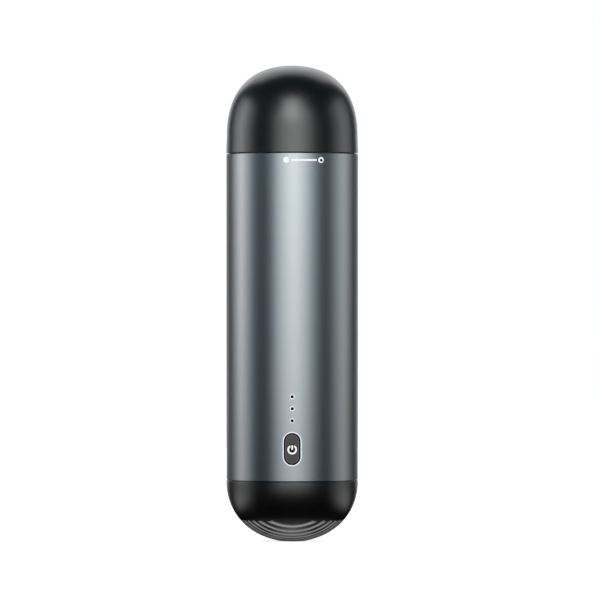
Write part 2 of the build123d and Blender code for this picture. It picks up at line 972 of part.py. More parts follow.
with BuildSketch() as blade_outline:
    with BuildLine():
        blade_middle = (blade_inner_radius + impeller_radius) / 2
        middle_turn = radians(blade_sweep * blade_middle_share)
        end_turn = radians(blade_sweep)
        blade_end = impeller_radius - blade_thickness
        ThreePointArc(
            (blade_inner_radius, 0),
            (blade_middle * cos(middle_turn), blade_middle * sin(middle_turn)),
            (blade_end * cos(end_turn), blade_end * sin(end_turn)),
        )
    trace(line_width=blade_thickness)

with BuildPart() as impeller:
    disc(impeller_radius, impeller_bottom, impeller_back_thickness)
    disc(hub_radius, blade_bottom, blade_height)
    with BuildSketch(Plane.XY.offset(blade_bottom)) as blades:
        with PolarLocations(0, blade_count):
            add(blade_outline.sketch)
    extrude(blades.sketch, amount=blade_height)
    ring(impeller_radius, shroud_neck_radius, shroud_bottom, shroud_thickness)
    ring(
        shroud_neck_radius,
        shroud_neck_radius - shroud_neck_wall,
        shroud_bottom,
        shroud_thickness + shroud_neck_height,
    )
    disc(shaft_hole, impeller_bottom, shaft_top - impeller_bottom, mode=Mode.SUBTRACT)
save(impeller, "impeller")

# Motor mount with its columns, down to the cradle

with BuildPart() as motor_mount:
    ring(fitted_radius, can_boss_radius + running_gap, mount_bottom, mount_thickness)
    for window_start in window_starts:
        sector(
            window_outer_radius,
            window_inner_radius,
            window_start,
            mount_window_angle,
            mount_bottom,
            mount_thickness,
            mode=Mode.SUBTRACT,
        )
    with PolarLocations(column_circle, mount_window_count, start_angle=-front_angle):
        with Locations((0, 0, (cradle_top + mount_bottom) / 2)):
            Cylinder(column_radius, mount_bottom - cradle_top)
    for side in (-1, 1):
        rod(
            Plane.XY.offset(mount_bottom),
            (side * motor_screw_offset, 0),
            motor_screw_radius + fit_gap,
            mount_thickness,
            mode=Mode.SUBTRACT,
        )
save(motor_mount, "motor_mount")

with BuildPart() as motor_screws:
    for side in (-1, 1):
        rod(
            Plane.XY.offset(housing_bottom - motor_screw_length),
            (side * motor_screw_offset, 0),
            motor_screw_radius,
            motor_screw_length,
        )
        rod(
            Plane.XY.offset(housing_bottom),
            (side * motor_screw_offset, 0),
            motor_screw_head_radius,
            motor_screw_head_height,
        )
        with Locations((side * motor_screw_offset, 0, housing_bottom + motor_screw_head_height)):
            Box(2 * motor_screw_radius, motor_screw_radius / 2, motor_screw_head_height, mode=Mode.SUBTRACT)
save(motor_screws, "motor_screws")

# Motor

bearing_pocket = bearing_radius + fit_gap

with BuildPart() as motor_can:
    disc(can_radius, can_bottom, can_length)
    disc(can_bore, can_bottom, can_length - can_wall, mode=Mode.SUBTRACT)
    disc(can_boss_radius, mount_bottom - bearing_length, bearing_length + can_boss_height)
    disc(bearing_pocket, mount_bottom - bearing_length, bearing_length, mode=Mode.SUBTRACT)
    disc(shaft_radius + running_gap, mount_bottom, can_boss_height, mode=Mode.SUBTRACT)
    for side in (-1, 1):
        rod(
            Plane.XY.offset(mount_bottom - can_wall),
            (side * motor_screw_offset, 0),
            motor_screw_radius + fit_gap,
            can_wall,
            mode=Mode.SUBTRACT,
        )
save(motor_can, "motor_can")

with BuildPart() as motor_end_bell:
    disc(can_bore - fit_gap, can_bottom, bell_thickness)
    disc(can_boss_radius, bell_boss_bottom, bell_boss_height)
    disc(bearing_pocket, bell_top - bearing_length, bearing_length, mode=Mode.SUBTRACT)
    disc(shaft_radius + running_gap, bell_boss_bottom, bell_boss_height, mode=Mode.SUBTRACT)
save(motor_end_bell, "motor_end_bell")

with BuildPart() as bearing_upper:
    ring(bearing_radius, shaft_hole, mount_bottom - bearing_length, bearing_length)
save(bearing_upper, "bearing_upper")

with BuildPart() as bearing_lower:
    ring(bearing_radius, shaft_hole, bell_top - bearing_length, bearing_length)
save(bearing_lower, "bearing_lower")

magnet_outer = can_bore - fit_gap
magnet_inner = magnet_outer - magnet_thickness
core_radius_outer = magnet_inner - air_gap
magnet_bottom = (bell_top + mount_bottom - can_wall - magnet_length) / 2
core_bottom = magnet_bottom + (magnet_length - core_length) / 2 + coil_thickness / 2

with BuildPart() as motor_magnets:
    for middle in (0, 180):
        sector(
            magnet_outer,
            magnet_inner,
            middle - magnet_angle / 2,
            magnet_angle,
            magnet_bottom,
            magnet_length,
        )
save(motor_magnets, "motor_magnets")

with BuildPart() as motor_shaft:
    disc(shaft_radius, shaft_bottom, shaft_top - shaft_bottom)
save(motor_shaft, "motor_shaft")

pole_angles = [pole * 360 / pole_count for pole in range(pole_count)]
shoe_inner = core_radius_outer - pole_shoe_thickness

with BuildPart() as armature_core:
    disc(core_hub_radius, core_bottom, core_length)
    for angle in pole_angles:
        sector(
            core_radius_outer,
            shoe_inner,
            angle - pole_shoe_angle / 2,
            pole_shoe_angle,
            core_bottom,
            core_length,
        )
    with BuildSketch(Plane.XY.offset(core_bottom)) as stems:
        with PolarLocations(shoe_inner / 2, pole_count):
            Rectangle(shoe_inner + pole_shoe_thickness / 2, pole_stem_width)
    extrude(stems.sketch, amount=core_length)
    disc(shaft_hole, core_bottom, core_length, mode=Mode.SUBTRACT)
save(armature_core, "armature_core")

coil_inner_width = pole_stem_width + 2 * fit_gap
coil_half_width = coil_inner_width / 2 + coil_thickness
coil_outer = sqrt(shoe_inner**2 - coil_half_width**2) - fit_gap
coil_middle = coil_outer - coil_depth / 2
coil_inner_height = core_length + 2 * fit_gap

with BuildPart() as armature_windings:
    with PolarLocations(coil_middle, pole_count):
        with Locations((0, 0, core_bottom + core_length / 2)):
            Box(coil_depth, 2 * coil_half_width, coil_inner_height + 2 * coil_thickness)
            Box(2 * coil_depth, coil_inner_width, coil_inner_height, mode=Mode.SUBTRACT)
save(armature_windings, "armature_windings")

commutator_bottom = bell_top + running_gap

with BuildPart() as commutator:
    ring(commutator_radius, shaft_hole, commutator_bottom, commutator_length)
    with PolarLocations(commutator_radius, pole_count):
        with Locations((0, 0, commutator_bottom + commutator_length / 2)):
            Box(2 * commutator_slot_depth, commutator_slot_width, commutator_length, mode=Mode.SUBTRACT)
save(commutator, "commutator")

with BuildPart() as motor_brushes:
    for side in (-1, 1):
        near = side * (commutator_radius + brush_gap)
        far = near + side * brush_length
        block(
            (min(near, far), -brush_width / 2, bell_top),
            (max(near, far), brush_width / 2, bell_top + brush_height),
        )
save(motor_brushes, "motor_brushes")

with BuildPart() as motor_terminals:
    for side in (-1, 1):
        with Locations((side * terminal_offset, 0, can_bottom - terminal_length / 2)):
            Box(terminal_width, terminal_thickness, terminal_length)
save(motor_terminals, "motor_terminals")

with BuildPart() as motor_damper:
    ring(damper_radius, can_radius + fit_gap, damper_bottom, damper_height)
save(motor_damper, "motor_damper")

# Battery cradle: two round plates, two side walls, four arms for the control board, the motor ring
# on its roof and two posts under its floor for the charge board

ring_inner = damper_radius + fit_gap
lead_notch = motor_lead_spacing + terminal_width + 2 * lead_radius

with BuildPart() as battery_cradle:
    disc(cradle_radius, cradle_bottom, cradle_plate_thickness)
    disc(cradle_radius, cradle_roof, cradle_plate_thickness)
    for plate in (cradle_bottom, cradle_roof):
        for middle in (front_angle, -front_angle):
            sector(
                cradle_window_outer,
                cradle_window_inner,
                middle - cradle_window_angle / 2,
                cradle_window_angle,
                plate,
                cradle_plate_thickness,
                mode=Mode.SUBTRACT,
            )
    for side in (-1, 1):
        low = min(side * side_inner, side * side_outer)
        high = max(side * side_inner, side * side_outer)
        block((low, -cradle_side_depth / 2, cradle_bottom), (high, cradle_side_depth / 2, cradle_top))
        arm_low = min(side * side_outer, side * (board_screw_x - screw_head_radius))
        arm_high = max(side * side_outer, side * (board_screw_x - screw_head_radius))
        for level in board_screw_levels:
            block(
                (low, -board_distance, level - arm_height / 2),
                (high, -cradle_side_depth / 2, level + arm_height / 2),
            )
            block(
                (arm_low, -board_distance, level - arm_height / 2),
                (arm_high, -board_distance + arm_depth, level + arm_height / 2),
            )
            rod(
                front(board_distance - screw_length),
                (side * board_screw_x, level),
                screw_radius + fit_gap,
                screw_length,
                mode=Mode.SUBTRACT,
            )
        post_place = (side * charge_screw_x, charge_screw_y)
        rod(Plane.XY.offset(port_board_top), post_place, charge_post_radius, cradle_bottom - port_board_top)
        rod(
            Plane.XY.offset(port_board_top),
            post_place,
            screw_radius + fit_gap,
            screw_length,
            mode=Mode.SUBTRACT,
        )
    ring(
        ring_inner + cradle_ring_wall,
        ring_inner,
        cradle_top,
        damper_bottom + damper_height - cradle_top,
    )
    block(
        (-lead_notch, -damper_radius - 2 * cradle_ring_wall, cradle_top),
        (lead_notch, 0, can_bottom),
        mode=Mode.SUBTRACT,
    )
    block(
        (-notch_half_width, charge_screw_y + charge_post_radius, cradle_bottom),
        (notch_half_width, tube_bore, cradle_bottom + cradle_plate_thickness),
        mode=Mode.SUBTRACT,
    )
    block(
        (-button_notch_half, -tube_bore, button_notch_bottom),
        (button_notch_half, -button_notch_depth, button_notch_bottom + flange_height),
        mode=Mode.SUBTRACT,
    )
save(battery_cradle, "battery_cradle")

for side, name in ((-1, "battery_cell_left"), (1, "battery_cell_right")):
    with BuildPart() as battery_cell:
        rod(Plane.XY.offset(cell_bottom), (side * cell_spacing / 2, 0), cell_radius, cell_length)
        crimp_level = cell_top - 2 * cell_crimp_width
        with BuildSketch(Plane.XY.offset(crimp_level)) as crimp:
            with Locations((side * cell_spacing / 2, 0)):
                Circle(cell_radius)
                Circle(cell_radius - cell_crimp_depth, mode=Mode.SUBTRACT)
        extrude(crimp.sketch, amount=cell_crimp_width, mode=Mode.SUBTRACT)
    save(battery_cell, name)

with BuildPart() as cell_tabs:
    half_link = cell_spacing / 2 + cell_button_radius
    block(
        (-half_link, -tab_width / 2, cell_bottom - tab_thickness),
        (half_link, tab_width / 2, cell_bottom),
    )
    for side in (-1, 1):
        middle = side * cell_spacing / 2
        block(
            (middle - tab_width / 2, -tab_reach, cell_top),
            (middle + tab_width / 2, cell_button_radius, cell_top + tab_thickness),
        )
save(cell_tabs, "cell_tabs")

# Control board with its switch, lights, light pipes, chips and screws

with BuildPart() as control_board:
    block(
        (-board_width / 2, -board_front, board_bottom),
        (board_width / 2, -board_distance, board_top),
    )
    for side in (-1, 1):
        for level in board_screw_levels:
            rod(
                front(board_distance),
                (side * board_screw_x, level),
                screw_radius + fit_gap,
                board_thickness,
                mode=Mode.SUBTRACT,
            )
save(control_board, "control_board")

with BuildPart() as board_screws:
    for side in (-1, 1):
        for level in board_screw_levels:
            rod(
                front(board_front - screw_length),
                (side * board_screw_x, level),
                screw_radius,
                screw_length,
            )
            rod(front(board_front), (side * board_screw_x, level), screw_head_radius, screw_head_height)
save(board_screws, "board_screws")

# Each chip: middle across, rise above the board's foot, then width, height and depth
chips = [
    (-chip_column, controller_rise, controller_width, controller_width, controller_depth),
    (chip_column, transistor_rise, transistor_width, transistor_height, transistor_depth),
    (-chip_column, inductor_rise, inductor_width, inductor_width, inductor_depth),
    (chip_column, capacitor_rise, capacitor_width, capacitor_height, capacitor_depth),
    (chip_column, capacitor_rise + capacitor_pitch, capacitor_width, capacitor_height, capacitor_depth),
    (-chip_column, socket_rise, socket_width, socket_height, socket_depth),
]

with BuildPart() as board_chips:
    for across, rise, width, height, depth in chips:
        level = board_bottom + rise
        block(
            (across - width / 2, -board_front - depth, level - height / 2),
            (across + width / 2, -board_front, level + height / 2),
        )
save(board_chips, "board_chips")

switch_front = board_front + switch_height
plunger_back = switch_front - plunger_sink
plunger_front = switch_front + plunger_height

with BuildPart() as tact_switch:
    block(
        (-switch_width / 2, -switch_front, button_level - switch_width / 2),
        (switch_width / 2, -board_front, button_level + switch_width / 2),
    )
    rod(
        front(plunger_back - button_travel - running_gap),
        (0, button_level),
        plunger_radius + fit_gap,
        switch_height,
        mode=Mode.SUBTRACT,
    )
save(tact_switch, "tact_switch")

with BuildPart() as switch_plunger:
    rod(front(plunger_back), (0, button_level), plunger_radius, plunger_front - plunger_back)
save(switch_plunger, "switch_plunger")

with BuildPart() as indicator_lights:
    for level in light_levels:
        block(
            (-light_chip_width / 2, -board_front - light_chip_depth, level - light_chip_height / 2),
            (light_chip_width / 2, -board_front, level + light_chip_height / 2),
        )
save(indicator_lights, "indicator_lights")

light_bar_back = board_front + light_bar_lift

with BuildPart() as light_pipes:
    for level in light_levels:
        rod(
            front(light_bar_back),
            (0, level),
            light_hole_radius - fit_gap,
            tube_radius - light_bar_back,
        )
    disc(tube_radius - light_inset, 0, total_height, mode=Mode.INTERSECT)
    block(
        (-light_bar_width / 2, -light_bar_back - light_bar_thickness, light_levels[0] - light_bar_margin),
        (light_bar_width / 2, -light_bar_back, light_levels[-1] + light_bar_margin),
    )
    for lower, upper in zip(light_levels, light_levels[1:]):
        rod(front(board_front), (0, (lower + upper) / 2), light_leg_radius, light_bar_lift)
save(light_pipes, "light_pipes")

# Power button with its printed symbol


def symbol_shape(grow, inner, outer):
    """The power symbol as thin solids between two radii: an open ring with a bar in its gap."""
    half_stroke = symbol_stroke / 2 + grow
    middle = (0, button_level - symbol_drop)
    with BuildPart() as symbol:
        with BuildSketch(front(tube_bore / 2)):
            with Locations(middle):
                Circle(symbol_radius + half_stroke)
                Circle(symbol_radius - half_stroke, mode=Mode.SUBTRACT)
            with BuildLine(mode=Mode.PRIVATE) as gap:
                reach = 2 * symbol_radius
                half_gap = reach * tan(radians(symbol_gap_angle))
                Polyline(
                    middle,
                    (middle[0] - half_gap, middle[1] + reach),
                    (middle[0] + half_gap, middle[1] + reach),
                    close=True,
                )
            make_face(gap.edges(), mode=Mode.SUBTRACT)
            bar_middle = middle[1] + symbol_bar_top - symbol_bar_length / 2
            with Locations((0, bar_middle)):
                SlotOverall(symbol_bar_length + 2 * grow, 2 * half_stroke, rotation=90)
        extrude(amount=tube_bore)
        ring(outer, inner, 0, total_height, mode=Mode.INTERSECT)
    return symbol


symbol_recess = symbol_shape(fit_gap, face_radius - ink_depth, cap_radius)

with BuildPart() as power_button:
    pad(front(flange_back), (0, button_level), button_width, button_height, tube_radius - flange_back)
    disc(face_radius, 0, total_height, mode=Mode.INTERSECT)
    face_edges = [
        edge
        for edge in power_button.edges()
        if all(
            abs(sqrt((edge @ end).X ** 2 + (edge @ end).Y ** 2) - face_radius) < fit_gap / 10
            for end in (0, 1)
        )
    ]
    chamfer(face_edges, button_bevel)
    pad(front(flange_back), (0, button_level), flange_width, flange_height, button_flange_thickness)
    rod(front(plunger_front), (0, button_level), button_stem_radius, flange_back - plunger_front)
    add(symbol_recess.part, mode=Mode.SUBTRACT)
save(power_button, "power_button")

power_symbol = symbol_shape(0, face_radius - ink_depth, face_radius)
save(power_symbol, "power_symbol")

# Charge board, its screws, the port and its bezel

charge_board_bottom = port_board_top - charge_board_thickness

with BuildPart() as charge_board:
    with BuildSketch(Plane.XY.offset(charge_board_bottom)):
        Circle(spigot_bore - running_gap)
        with Locations((0, charge_board_start + tube_radius)):
            Rectangle(charge_board_width, 2 * tube_radius, mode=Mode.INTERSECT)
        for side in (-1, 1):
            with Locations((side * charge_screw_x, charge_screw_y)):
                Circle(screw_radius + fit_gap, mode=Mode.SUBTRACT)
    extrude(amount=charge_board_thickness)
save(charge_board, "charge_board")

with BuildPart() as charge_board_screws:
    for side in (-1, 1):
        place = (side * charge_screw_x, charge_screw_y)
        rod(Plane.XY.offset(charge_board_bottom), place, screw_radius, screw_length)
        rod(
            Plane.XY.offset(charge_board_bottom - screw_head_height),
            place,
            screw_head_radius,
            screw_head_height,
        )
save(charge_board_screws, "charge_board_screws")

with BuildPart() as port_shell:
    pad(back(port_front - port_depth), (0, port_level), port_width, port_height, port_depth)
    pad(
        back(port_front - port_depth + port_wall),
        (0, port_level),
        port_width - 2 * port_wall,
        port_height - 2 * port_wall,
        port_depth,
        mode=Mode.SUBTRACT,
    )
save(port_shell, "port_shell")

with BuildPart() as port_tongue:
    block(
        (-tongue_width / 2, port_front - port_depth + port_wall, port_level - tongue_thickness / 2),
        (
            tongue_width / 2,
            port_front - port_depth + port_wall + tongue_length,
            port_level + tongue_thickness / 2,
        ),
    )
save(port_tongue, "port_tongue")

bezel_lip_front = sqrt(tube_bore**2 - (bezel_width / 2 + bezel_lip) ** 2) - fit_gap

with BuildPart() as port_bezel:
    pad(
        back(bezel_lip_front - bezel_lip_thickness),
        (0, port_level),
        bezel_width,
        bezel_height,
        tube_radius,
    )
    disc(tube_radius - bezel_inset, 0, total_height, mode=Mode.INTERSECT)
    pad(
        back(bezel_lip_front - bezel_lip_thickness),
        (0, port_level),
        bezel_width + 2 * bezel_lip,
        bezel_height + 2 * bezel_lip,
        bezel_lip_thickness,
    )
    pad(
        back(port_front - port_depth),
        (0, port_level),
        port_width + loose_gap,
        port_height + loose_gap,
        2 * port_depth,
        mode=Mode.SUBTRACT,
    )
save(port_bezel, "port_bezel")

# Leads: two from the motor's terminals and two from the cell tabs, all to the control board

motor_lead_start = -terminal_thickness / 2 - lead_radius
motor_lead_level = (cradle_top + can_bottom - terminal_length) / 2 + lead_radius / 2
board_lead_y = -board_front - lead_radius
cell_lead_level = cell_top - lead_radius
cell_lead_y = -board_distance + lead_radius


def lead(points):
    """A round lead along a route with equal bends."""
    with BuildLine() as route:
        FilletPolyline(*points, radius=lead_bend)
    with BuildSketch(Plane(origin=route.line @ 0, z_dir=route.line % 0)) as section:
        Circle(lead_radius)
    sweep(section.sketch, path=route.line)


with BuildPart() as motor_leads:
    for side in (-1, 1):
        lead(
            [
                (side * terminal_offset, motor_lead_start, can_bottom - fit_gap),
                (side * terminal_offset, motor_lead_start, motor_lead_level),
                (side * motor_lead_spacing, board_lead_y, motor_lead_level),
                (side * motor_lead_spacing, board_lead_y, board_top - lead_overlap_on_board),
            ]
        )
save(motor_leads, "motor_leads")

with BuildPart() as battery_leads:
    for side in (-1, 1):
        across = side * cell_spacing / 2
        lead(
            [
                (across, -cell_radius - 2 * lead_radius, cell_lead_level),
                (across, cell_lead_y, cell_lead_level),
                (across, cell_lead_y, board_top - lead_overlap_on_board),
            ]
        )
save(battery_leads, "battery_leads")
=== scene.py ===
# %% [markdown]
# # A capsule-shaped handheld vacuum cleaner
#
# This lesson dresses a packed construction model: the model already has every piece at its real size and
# place. Here the outer shells get finely rounded surfaces of their own, every piece gets its finish, and a
# small studio lights them. Lengths in the surface cells are in millimetres, as on a drawing, and are turned
# into metres once, when a mesh is made. The finishes and the stage are in metres, as Blender is. Z is up, the
# power button faces the camera at -Y, and the foot stands on z = 0.

import json
from math import asin, cos, pi, radians, sin, tan

import bmesh
import bpy
import numpy as np
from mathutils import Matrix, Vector
from mathutils.geometry import delaunay_2d_cdt


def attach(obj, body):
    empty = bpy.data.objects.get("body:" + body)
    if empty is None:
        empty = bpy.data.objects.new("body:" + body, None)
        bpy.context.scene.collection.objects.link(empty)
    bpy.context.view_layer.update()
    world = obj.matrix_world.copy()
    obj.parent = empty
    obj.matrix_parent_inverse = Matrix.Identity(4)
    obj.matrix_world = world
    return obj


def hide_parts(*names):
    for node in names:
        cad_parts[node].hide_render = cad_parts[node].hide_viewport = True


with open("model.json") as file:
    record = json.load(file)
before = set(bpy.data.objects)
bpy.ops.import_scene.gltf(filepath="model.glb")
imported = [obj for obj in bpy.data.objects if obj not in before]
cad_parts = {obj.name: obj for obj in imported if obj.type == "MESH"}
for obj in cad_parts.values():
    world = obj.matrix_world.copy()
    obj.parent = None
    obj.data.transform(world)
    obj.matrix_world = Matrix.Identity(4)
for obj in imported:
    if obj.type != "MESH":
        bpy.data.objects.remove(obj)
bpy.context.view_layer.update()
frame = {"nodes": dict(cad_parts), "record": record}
millimetre = 0.001

# %% [markdown]
# ## Surfaces from grids of points
#
# Nearly every shell here is a profile swept round an axis or along an outline. NumPy works out all the points
# of such a surface at once, as an array of rows and columns, and the faces follow from the row and column
# numbers. One helper makes the grid's faces, one sweeps a profile round Z, one rounds the corners of a
# profile, and one joins such parts into a closed mesh. It could all be done by hand with a spin and a bevel,
# but then each later change of a size would mean doing it again.


# %% Grids, profiles and meshes
def grid(points, wrap_rows=False, wrap_columns=False):
    """The points and four-sided faces of a surface given as an array of rows, columns and x, y, z."""
    rows, columns = points.shape[:2]
    index = np.arange(rows * columns).reshape(rows, columns)
    if wrap_rows:
        index = np.vstack([index, index[:1]])
    if wrap_columns:
        index = np.hstack([index, index[:, :1]])
    corners = (index[:-1, :-1], index[:-1, 1:], index[1:, 1:], index[1:, :-1])
    return points.reshape(-1, 3), np.stack([corner.ravel() for corner in corners], 1)


def turned(profile, angles):
    """A profile of (radius, height) turned about Z: x = r sin a, y = -r cos a, so angle 0 is the front."""
    radius, height = np.asarray(profile, float).T
    rise = np.repeat(height[:, None], len(angles), 1)
    return np.stack([np.outer(radius, np.sin(angles)), -np.outer(radius, np.cos(angles)), rise], 2)


def lathe(profile, steps=192):
    """A profile turned all the way round Z."""
    return grid(turned(profile, np.arange(steps) * 2 * pi / steps), wrap_columns=True)


def rounded(corners, radii, steps=5, support=0.12):
    """A profile with round corners. Each corner p with neighbours a and b becomes the curve
    (1-t)^2 s + 2t(1-t) p + t^2 e from s to e, a radius before and after the corner on the straights to a and
    b, with one more point just outside it at each end, which keeps the shading of the straights flat."""
    points = [corners[0]]
    for before, corner, after, radius in zip(corners, corners[1:], corners[2:], radii):
        before, corner, after = (np.array(point, float) for point in (before, corner, after))
        back = (before - corner) / np.linalg.norm(before - corner)
        ahead = (after - corner) / np.linalg.norm(after - corner)
        t = np.linspace(0.0, 1.0, steps + 1)[:, None]
        start, end = corner + back * radius, corner + ahead * radius
        curve = (1 - t) ** 2 * start + 2 * t * (1 - t) * corner + t**2 * end
        points += [corner + back * (radius + support), *curve, corner + ahead * (radius + support)]
    return np.array([*points, corners[-1]], float)


def sector(profile, start, end, steps=60):
    """A closed profile turned from one angle to another: its sides, and a flat face at each end."""
    points, sides = grid(turned(profile, np.linspace(start, end, steps + 1)), wrap_rows=True)
    first = np.arange(len(profile)) * (steps + 1)
    return [(points, sides), (points, np.stack([first, first[::-1] + steps]))]


def bezier(corners, count):
    """Points on a cubic Bezier curve: a(1-t)^3 + 3bt(1-t)^2 + 3ct^2(1-t) + dt^3."""
    t = np.linspace(0.0, 1.0, count)[:, None]
    a, b, c, d = (np.array(corner, float) for corner in corners)
    return a * (1 - t) ** 3 + 3 * b * t * (1 - t) ** 2 + 3 * c * t**2 * (1 - t) + d * t**3


def make(name, body, parts, nodes):
    """Joins parts into one smooth mesh in metres, which rides a body and stands for those CAD nodes."""
    starts = np.cumsum([0, *(len(points) for points, _ in parts)])
    points = np.concatenate([points for points, _ in parts]) * millimetre
    faces = [face for start, (_, part) in zip(starts, parts) for face in (part + start).tolist()]
    mesh = bpy.data.meshes.new(name)
    mesh.from_pydata(points.tolist(), [], faces)
    shell = bmesh.new()
    shell.from_mesh(mesh)
    bmesh.ops.remove_doubles(shell, verts=shell.verts, dist=3e-6)
    bmesh.ops.dissolve_degenerate(shell, edges=shell.edges, dist=1e-7)
    bmesh.ops.recalc_face_normals(shell, faces=shell.faces)
    open_edges = sum(not edge.is_manifold for edge in shell.edges)
    shell.to_mesh(mesh)
    shell.free()
    mesh.shade_smooth()
    piece = bpy.data.objects.new(name, mesh)
    bpy.context.scene.collection.objects.link(piece)
    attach(piece, body)
    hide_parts(*nodes)
    print(name, "faces", len(mesh.polygons), "open edges", open_edges)
    return piece


# %% [markdown]
# ## Walls with openings
#
# The tube and the tail cap are thin walls with openings, and each opening has a rounded lip. Seen from the
# side it is cut from, such a wall is a flat drawing: a border, and the outlines of the openings in it. A
# Delaunay triangulation fills the drawing with well-shaped triangles, and `place` lifts each drawn point onto
# the curved surface, at any depth between the outer face (0) and the inner face (1). A boolean cut would
# leave long thin triangles and a razor edge, which catches no light.


# %% Openings and their outlines
def slot_outline(opening, grow=0.0):
    """A closed outline round an opening with round ends, made larger by a distance. An opening is given as
    (centre, half length of its straight sides, end radius, upright or not, steps of an end, of a side)."""
    centre, straight, radius, upright, end_steps, side_steps = opening
    radius = radius + grow
    turn = np.linspace(-pi / 2, pi / 2, end_steps + 1)
    right = np.stack([straight + radius * np.cos(turn), radius * np.sin(turn)], 1)
    side = np.linspace(straight, -straight, side_steps + 1)[1:-1]
    top = np.stack([side, np.full_like(side, radius)], 1)
    if straight == 0:
        loop = np.concatenate([right[:-1], -right[:-1]])
    else:
        loop = np.concatenate([right, top, -right, -top])
    if upright:
        loop = loop[:, ::-1] * (-1, 1)
    return loop + centre


def inside(loop, points):
    """Which points lie inside a closed outline: those with an odd number of its edges to their right."""
    x, y = points.T[:, :, None]
    ends = np.roll(loop, -1, 0)
    crosses = (loop[:, 1] > y) != (ends[:, 1] > y)
    rise = np.where(ends[:, 1] == loop[:, 1], 1.0, ends[:, 1] - loop[:, 1])
    reach = loop[:, 0] + (ends[:, 0] - loop[:, 0]) * (y - loop[:, 1]) / rise
    return (crosses & (x < reach)).sum(1) % 2 == 1


def sheet(borders, holes, filling, place, apart=0.4):
    """The triangles between closed borders and holes in a flat drawing, each point put where place says.
    Only filling points at least a distance apart from every outline are used."""
    loops = [*borders, *holes]
    outlines = np.concatenate(loops)
    clear = np.ones(len(filling), bool)
    for border in borders[:1]:
        clear &= inside(border, filling)
    for hole in [*borders[1:], *holes]:
        clear &= ~inside(hole, filling)
    near = np.linalg.norm(filling[:, None] - outlines[None], axis=2).min(1)
    points = np.concatenate([outlines, filling[clear & (near > apart)]])
    starts = np.cumsum([0, *(len(loop) for loop in loops)])
    edges = [
        (int(start + i), int(start + (i + 1) % len(loop)))
        for start, loop in zip(starts, loops)
        for i in range(len(loop))
    ]
    corners, _, faces, *_ = delaunay_2d_cdt([Vector(point) for point in points], edges, [], 1, 1e-6)
    corners, faces = np.array(corners), np.array(faces)
    middles = corners[faces].mean(1)
    for hole in [*borders[1:], *holes]:
        kept = ~inside(hole, middles)
        faces, middles = faces[kept], middles[kept]
    return place(corners), faces


def pierced(openings, lips, thickness, outer, inner, filling, place, steps=5, support=0.08):
    """Both faces of a wall with openings, and the side of each opening with its rounded lip.

    The lip runs along (1-t)^2 a + 2t(1-t) c + t^2 e, where a lies on the outer face a lip's width outside the
    outline, c on the outline itself, and e a lip's width down into the wall. A support's width further on,
    one more row on each side keeps the shading of the flat parts flat.
    """
    rims = [slot_outline(opening, lip + support) for opening, lip in zip(openings, lips)]
    edges = [slot_outline(opening) for opening in openings]
    parts = [sheet(outer, rims, filling, lambda flat: place(flat, 0.0))]
    parts.append(sheet(inner, edges, filling, lambda flat: place(flat, 1.0)))
    for opening, lip in zip(openings, lips):
        start = place(slot_outline(opening, lip), 0.0)
        corner, end = (place(slot_outline(opening), depth) for depth in (0.0, lip / thickness))
        rows = [place(slot_outline(opening, lip + support), 0.0)]
        for t in np.linspace(0.0, 1.0, steps + 1):
            rows.append((1 - t) ** 2 * start + 2 * t * (1 - t) * corner + t**2 * end)
        rows.append(place(slot_outline(opening), min(0.9, (lip + support) / thickness)))
        rows.append(place(slot_outline(opening), 1.0))
        parts.append(grid(np.array(rows), wrap_columns=True))
    return parts


# %% [markdown]
# ## The body tube
#
# An aluminium tube, 65.4 mm across with a wall of 1.2 mm. Its ends and the button's opening are cut with a
# bright diamond tool, which leaves a narrow polished edge, so those edges are rounded finely enough to shine.
# The whole wall is one grid, turned from a closed profile. Two windows are left out of the grid, one at the
# front for the button and the lights and one at the back for the charging port, and pierced walls fill them.

# %% Tube sizes
tube_radius, tube_bore = 32.68, 31.5
tube_bottom, tube_top = 30.55, 192.2
button_level, button_straight, button_end = 46.6, 3.775, 3.775
light_levels = [60.5, 66.4, 72.3]
port_level = 36.67
window_half_angle, window_half_width, fill_step = radians(15), 7.6, 0.8
print("tube", 2 * tube_radius, "mm across, wall", round(tube_radius - tube_bore, 2), "mm")

# %% The tube
button_opening = ((0.0, button_level), button_straight, button_end + 0.3, True, 28, 12)
light_openings = [((0.0, level), 0.0, 0.75, True, 14, 1) for level in light_levels]
port_opening = ((0.0, port_level), 3.0, 3.25, False, 24, 12)
windows = [
    (0.0, 34.0, 78.0, [button_opening, *light_openings], [0.55, 0.36, 0.36, 0.36]),
    (pi, 32.6, 42.0, [port_opening], [0.3]),
]
window_angles = np.linspace(-window_half_angle, window_half_angle, 21)
side_angles = np.linspace(window_half_angle, pi - window_half_angle, 121)[1:-1]
angles = np.concatenate([window_angles, side_angles, window_angles + pi, side_angles + pi])
levels = np.unique(np.concatenate([
    [tube_bottom + 0.6, 32.6, 34.0, 42.0, 78.0, tube_top - 0.6],
    np.arange(35.0, 42.0, 1.0),
    np.arange(43.0, 78.0, 1.25),
    np.arange(82.0, 190.0, 6.0),
]))
end_corners = [(tube_bore, levels[-1]), (tube_bore, tube_top), (tube_radius, tube_top)]
end_corners.append((tube_radius, levels[-1]))
top_end = rounded(end_corners, [0.1, 0.3])[1:-1]
bottom_end = top_end[::-1] * (1, -1) + (0, tube_top + tube_bottom)
outer_wall = np.stack([np.full_like(levels, tube_radius), levels], 1)
inner_wall = np.stack([np.full_like(levels, tube_bore), levels], 1)
profile = np.concatenate([outer_wall[::-1], bottom_end, inner_wall, top_end])
points, faces = grid(turned(profile, angles), wrap_rows=True, wrap_columns=True)
middles = points[faces].mean(1)
azimuth = np.arctan2(middles[:, 0], -middles[:, 1])
tube_parts = []
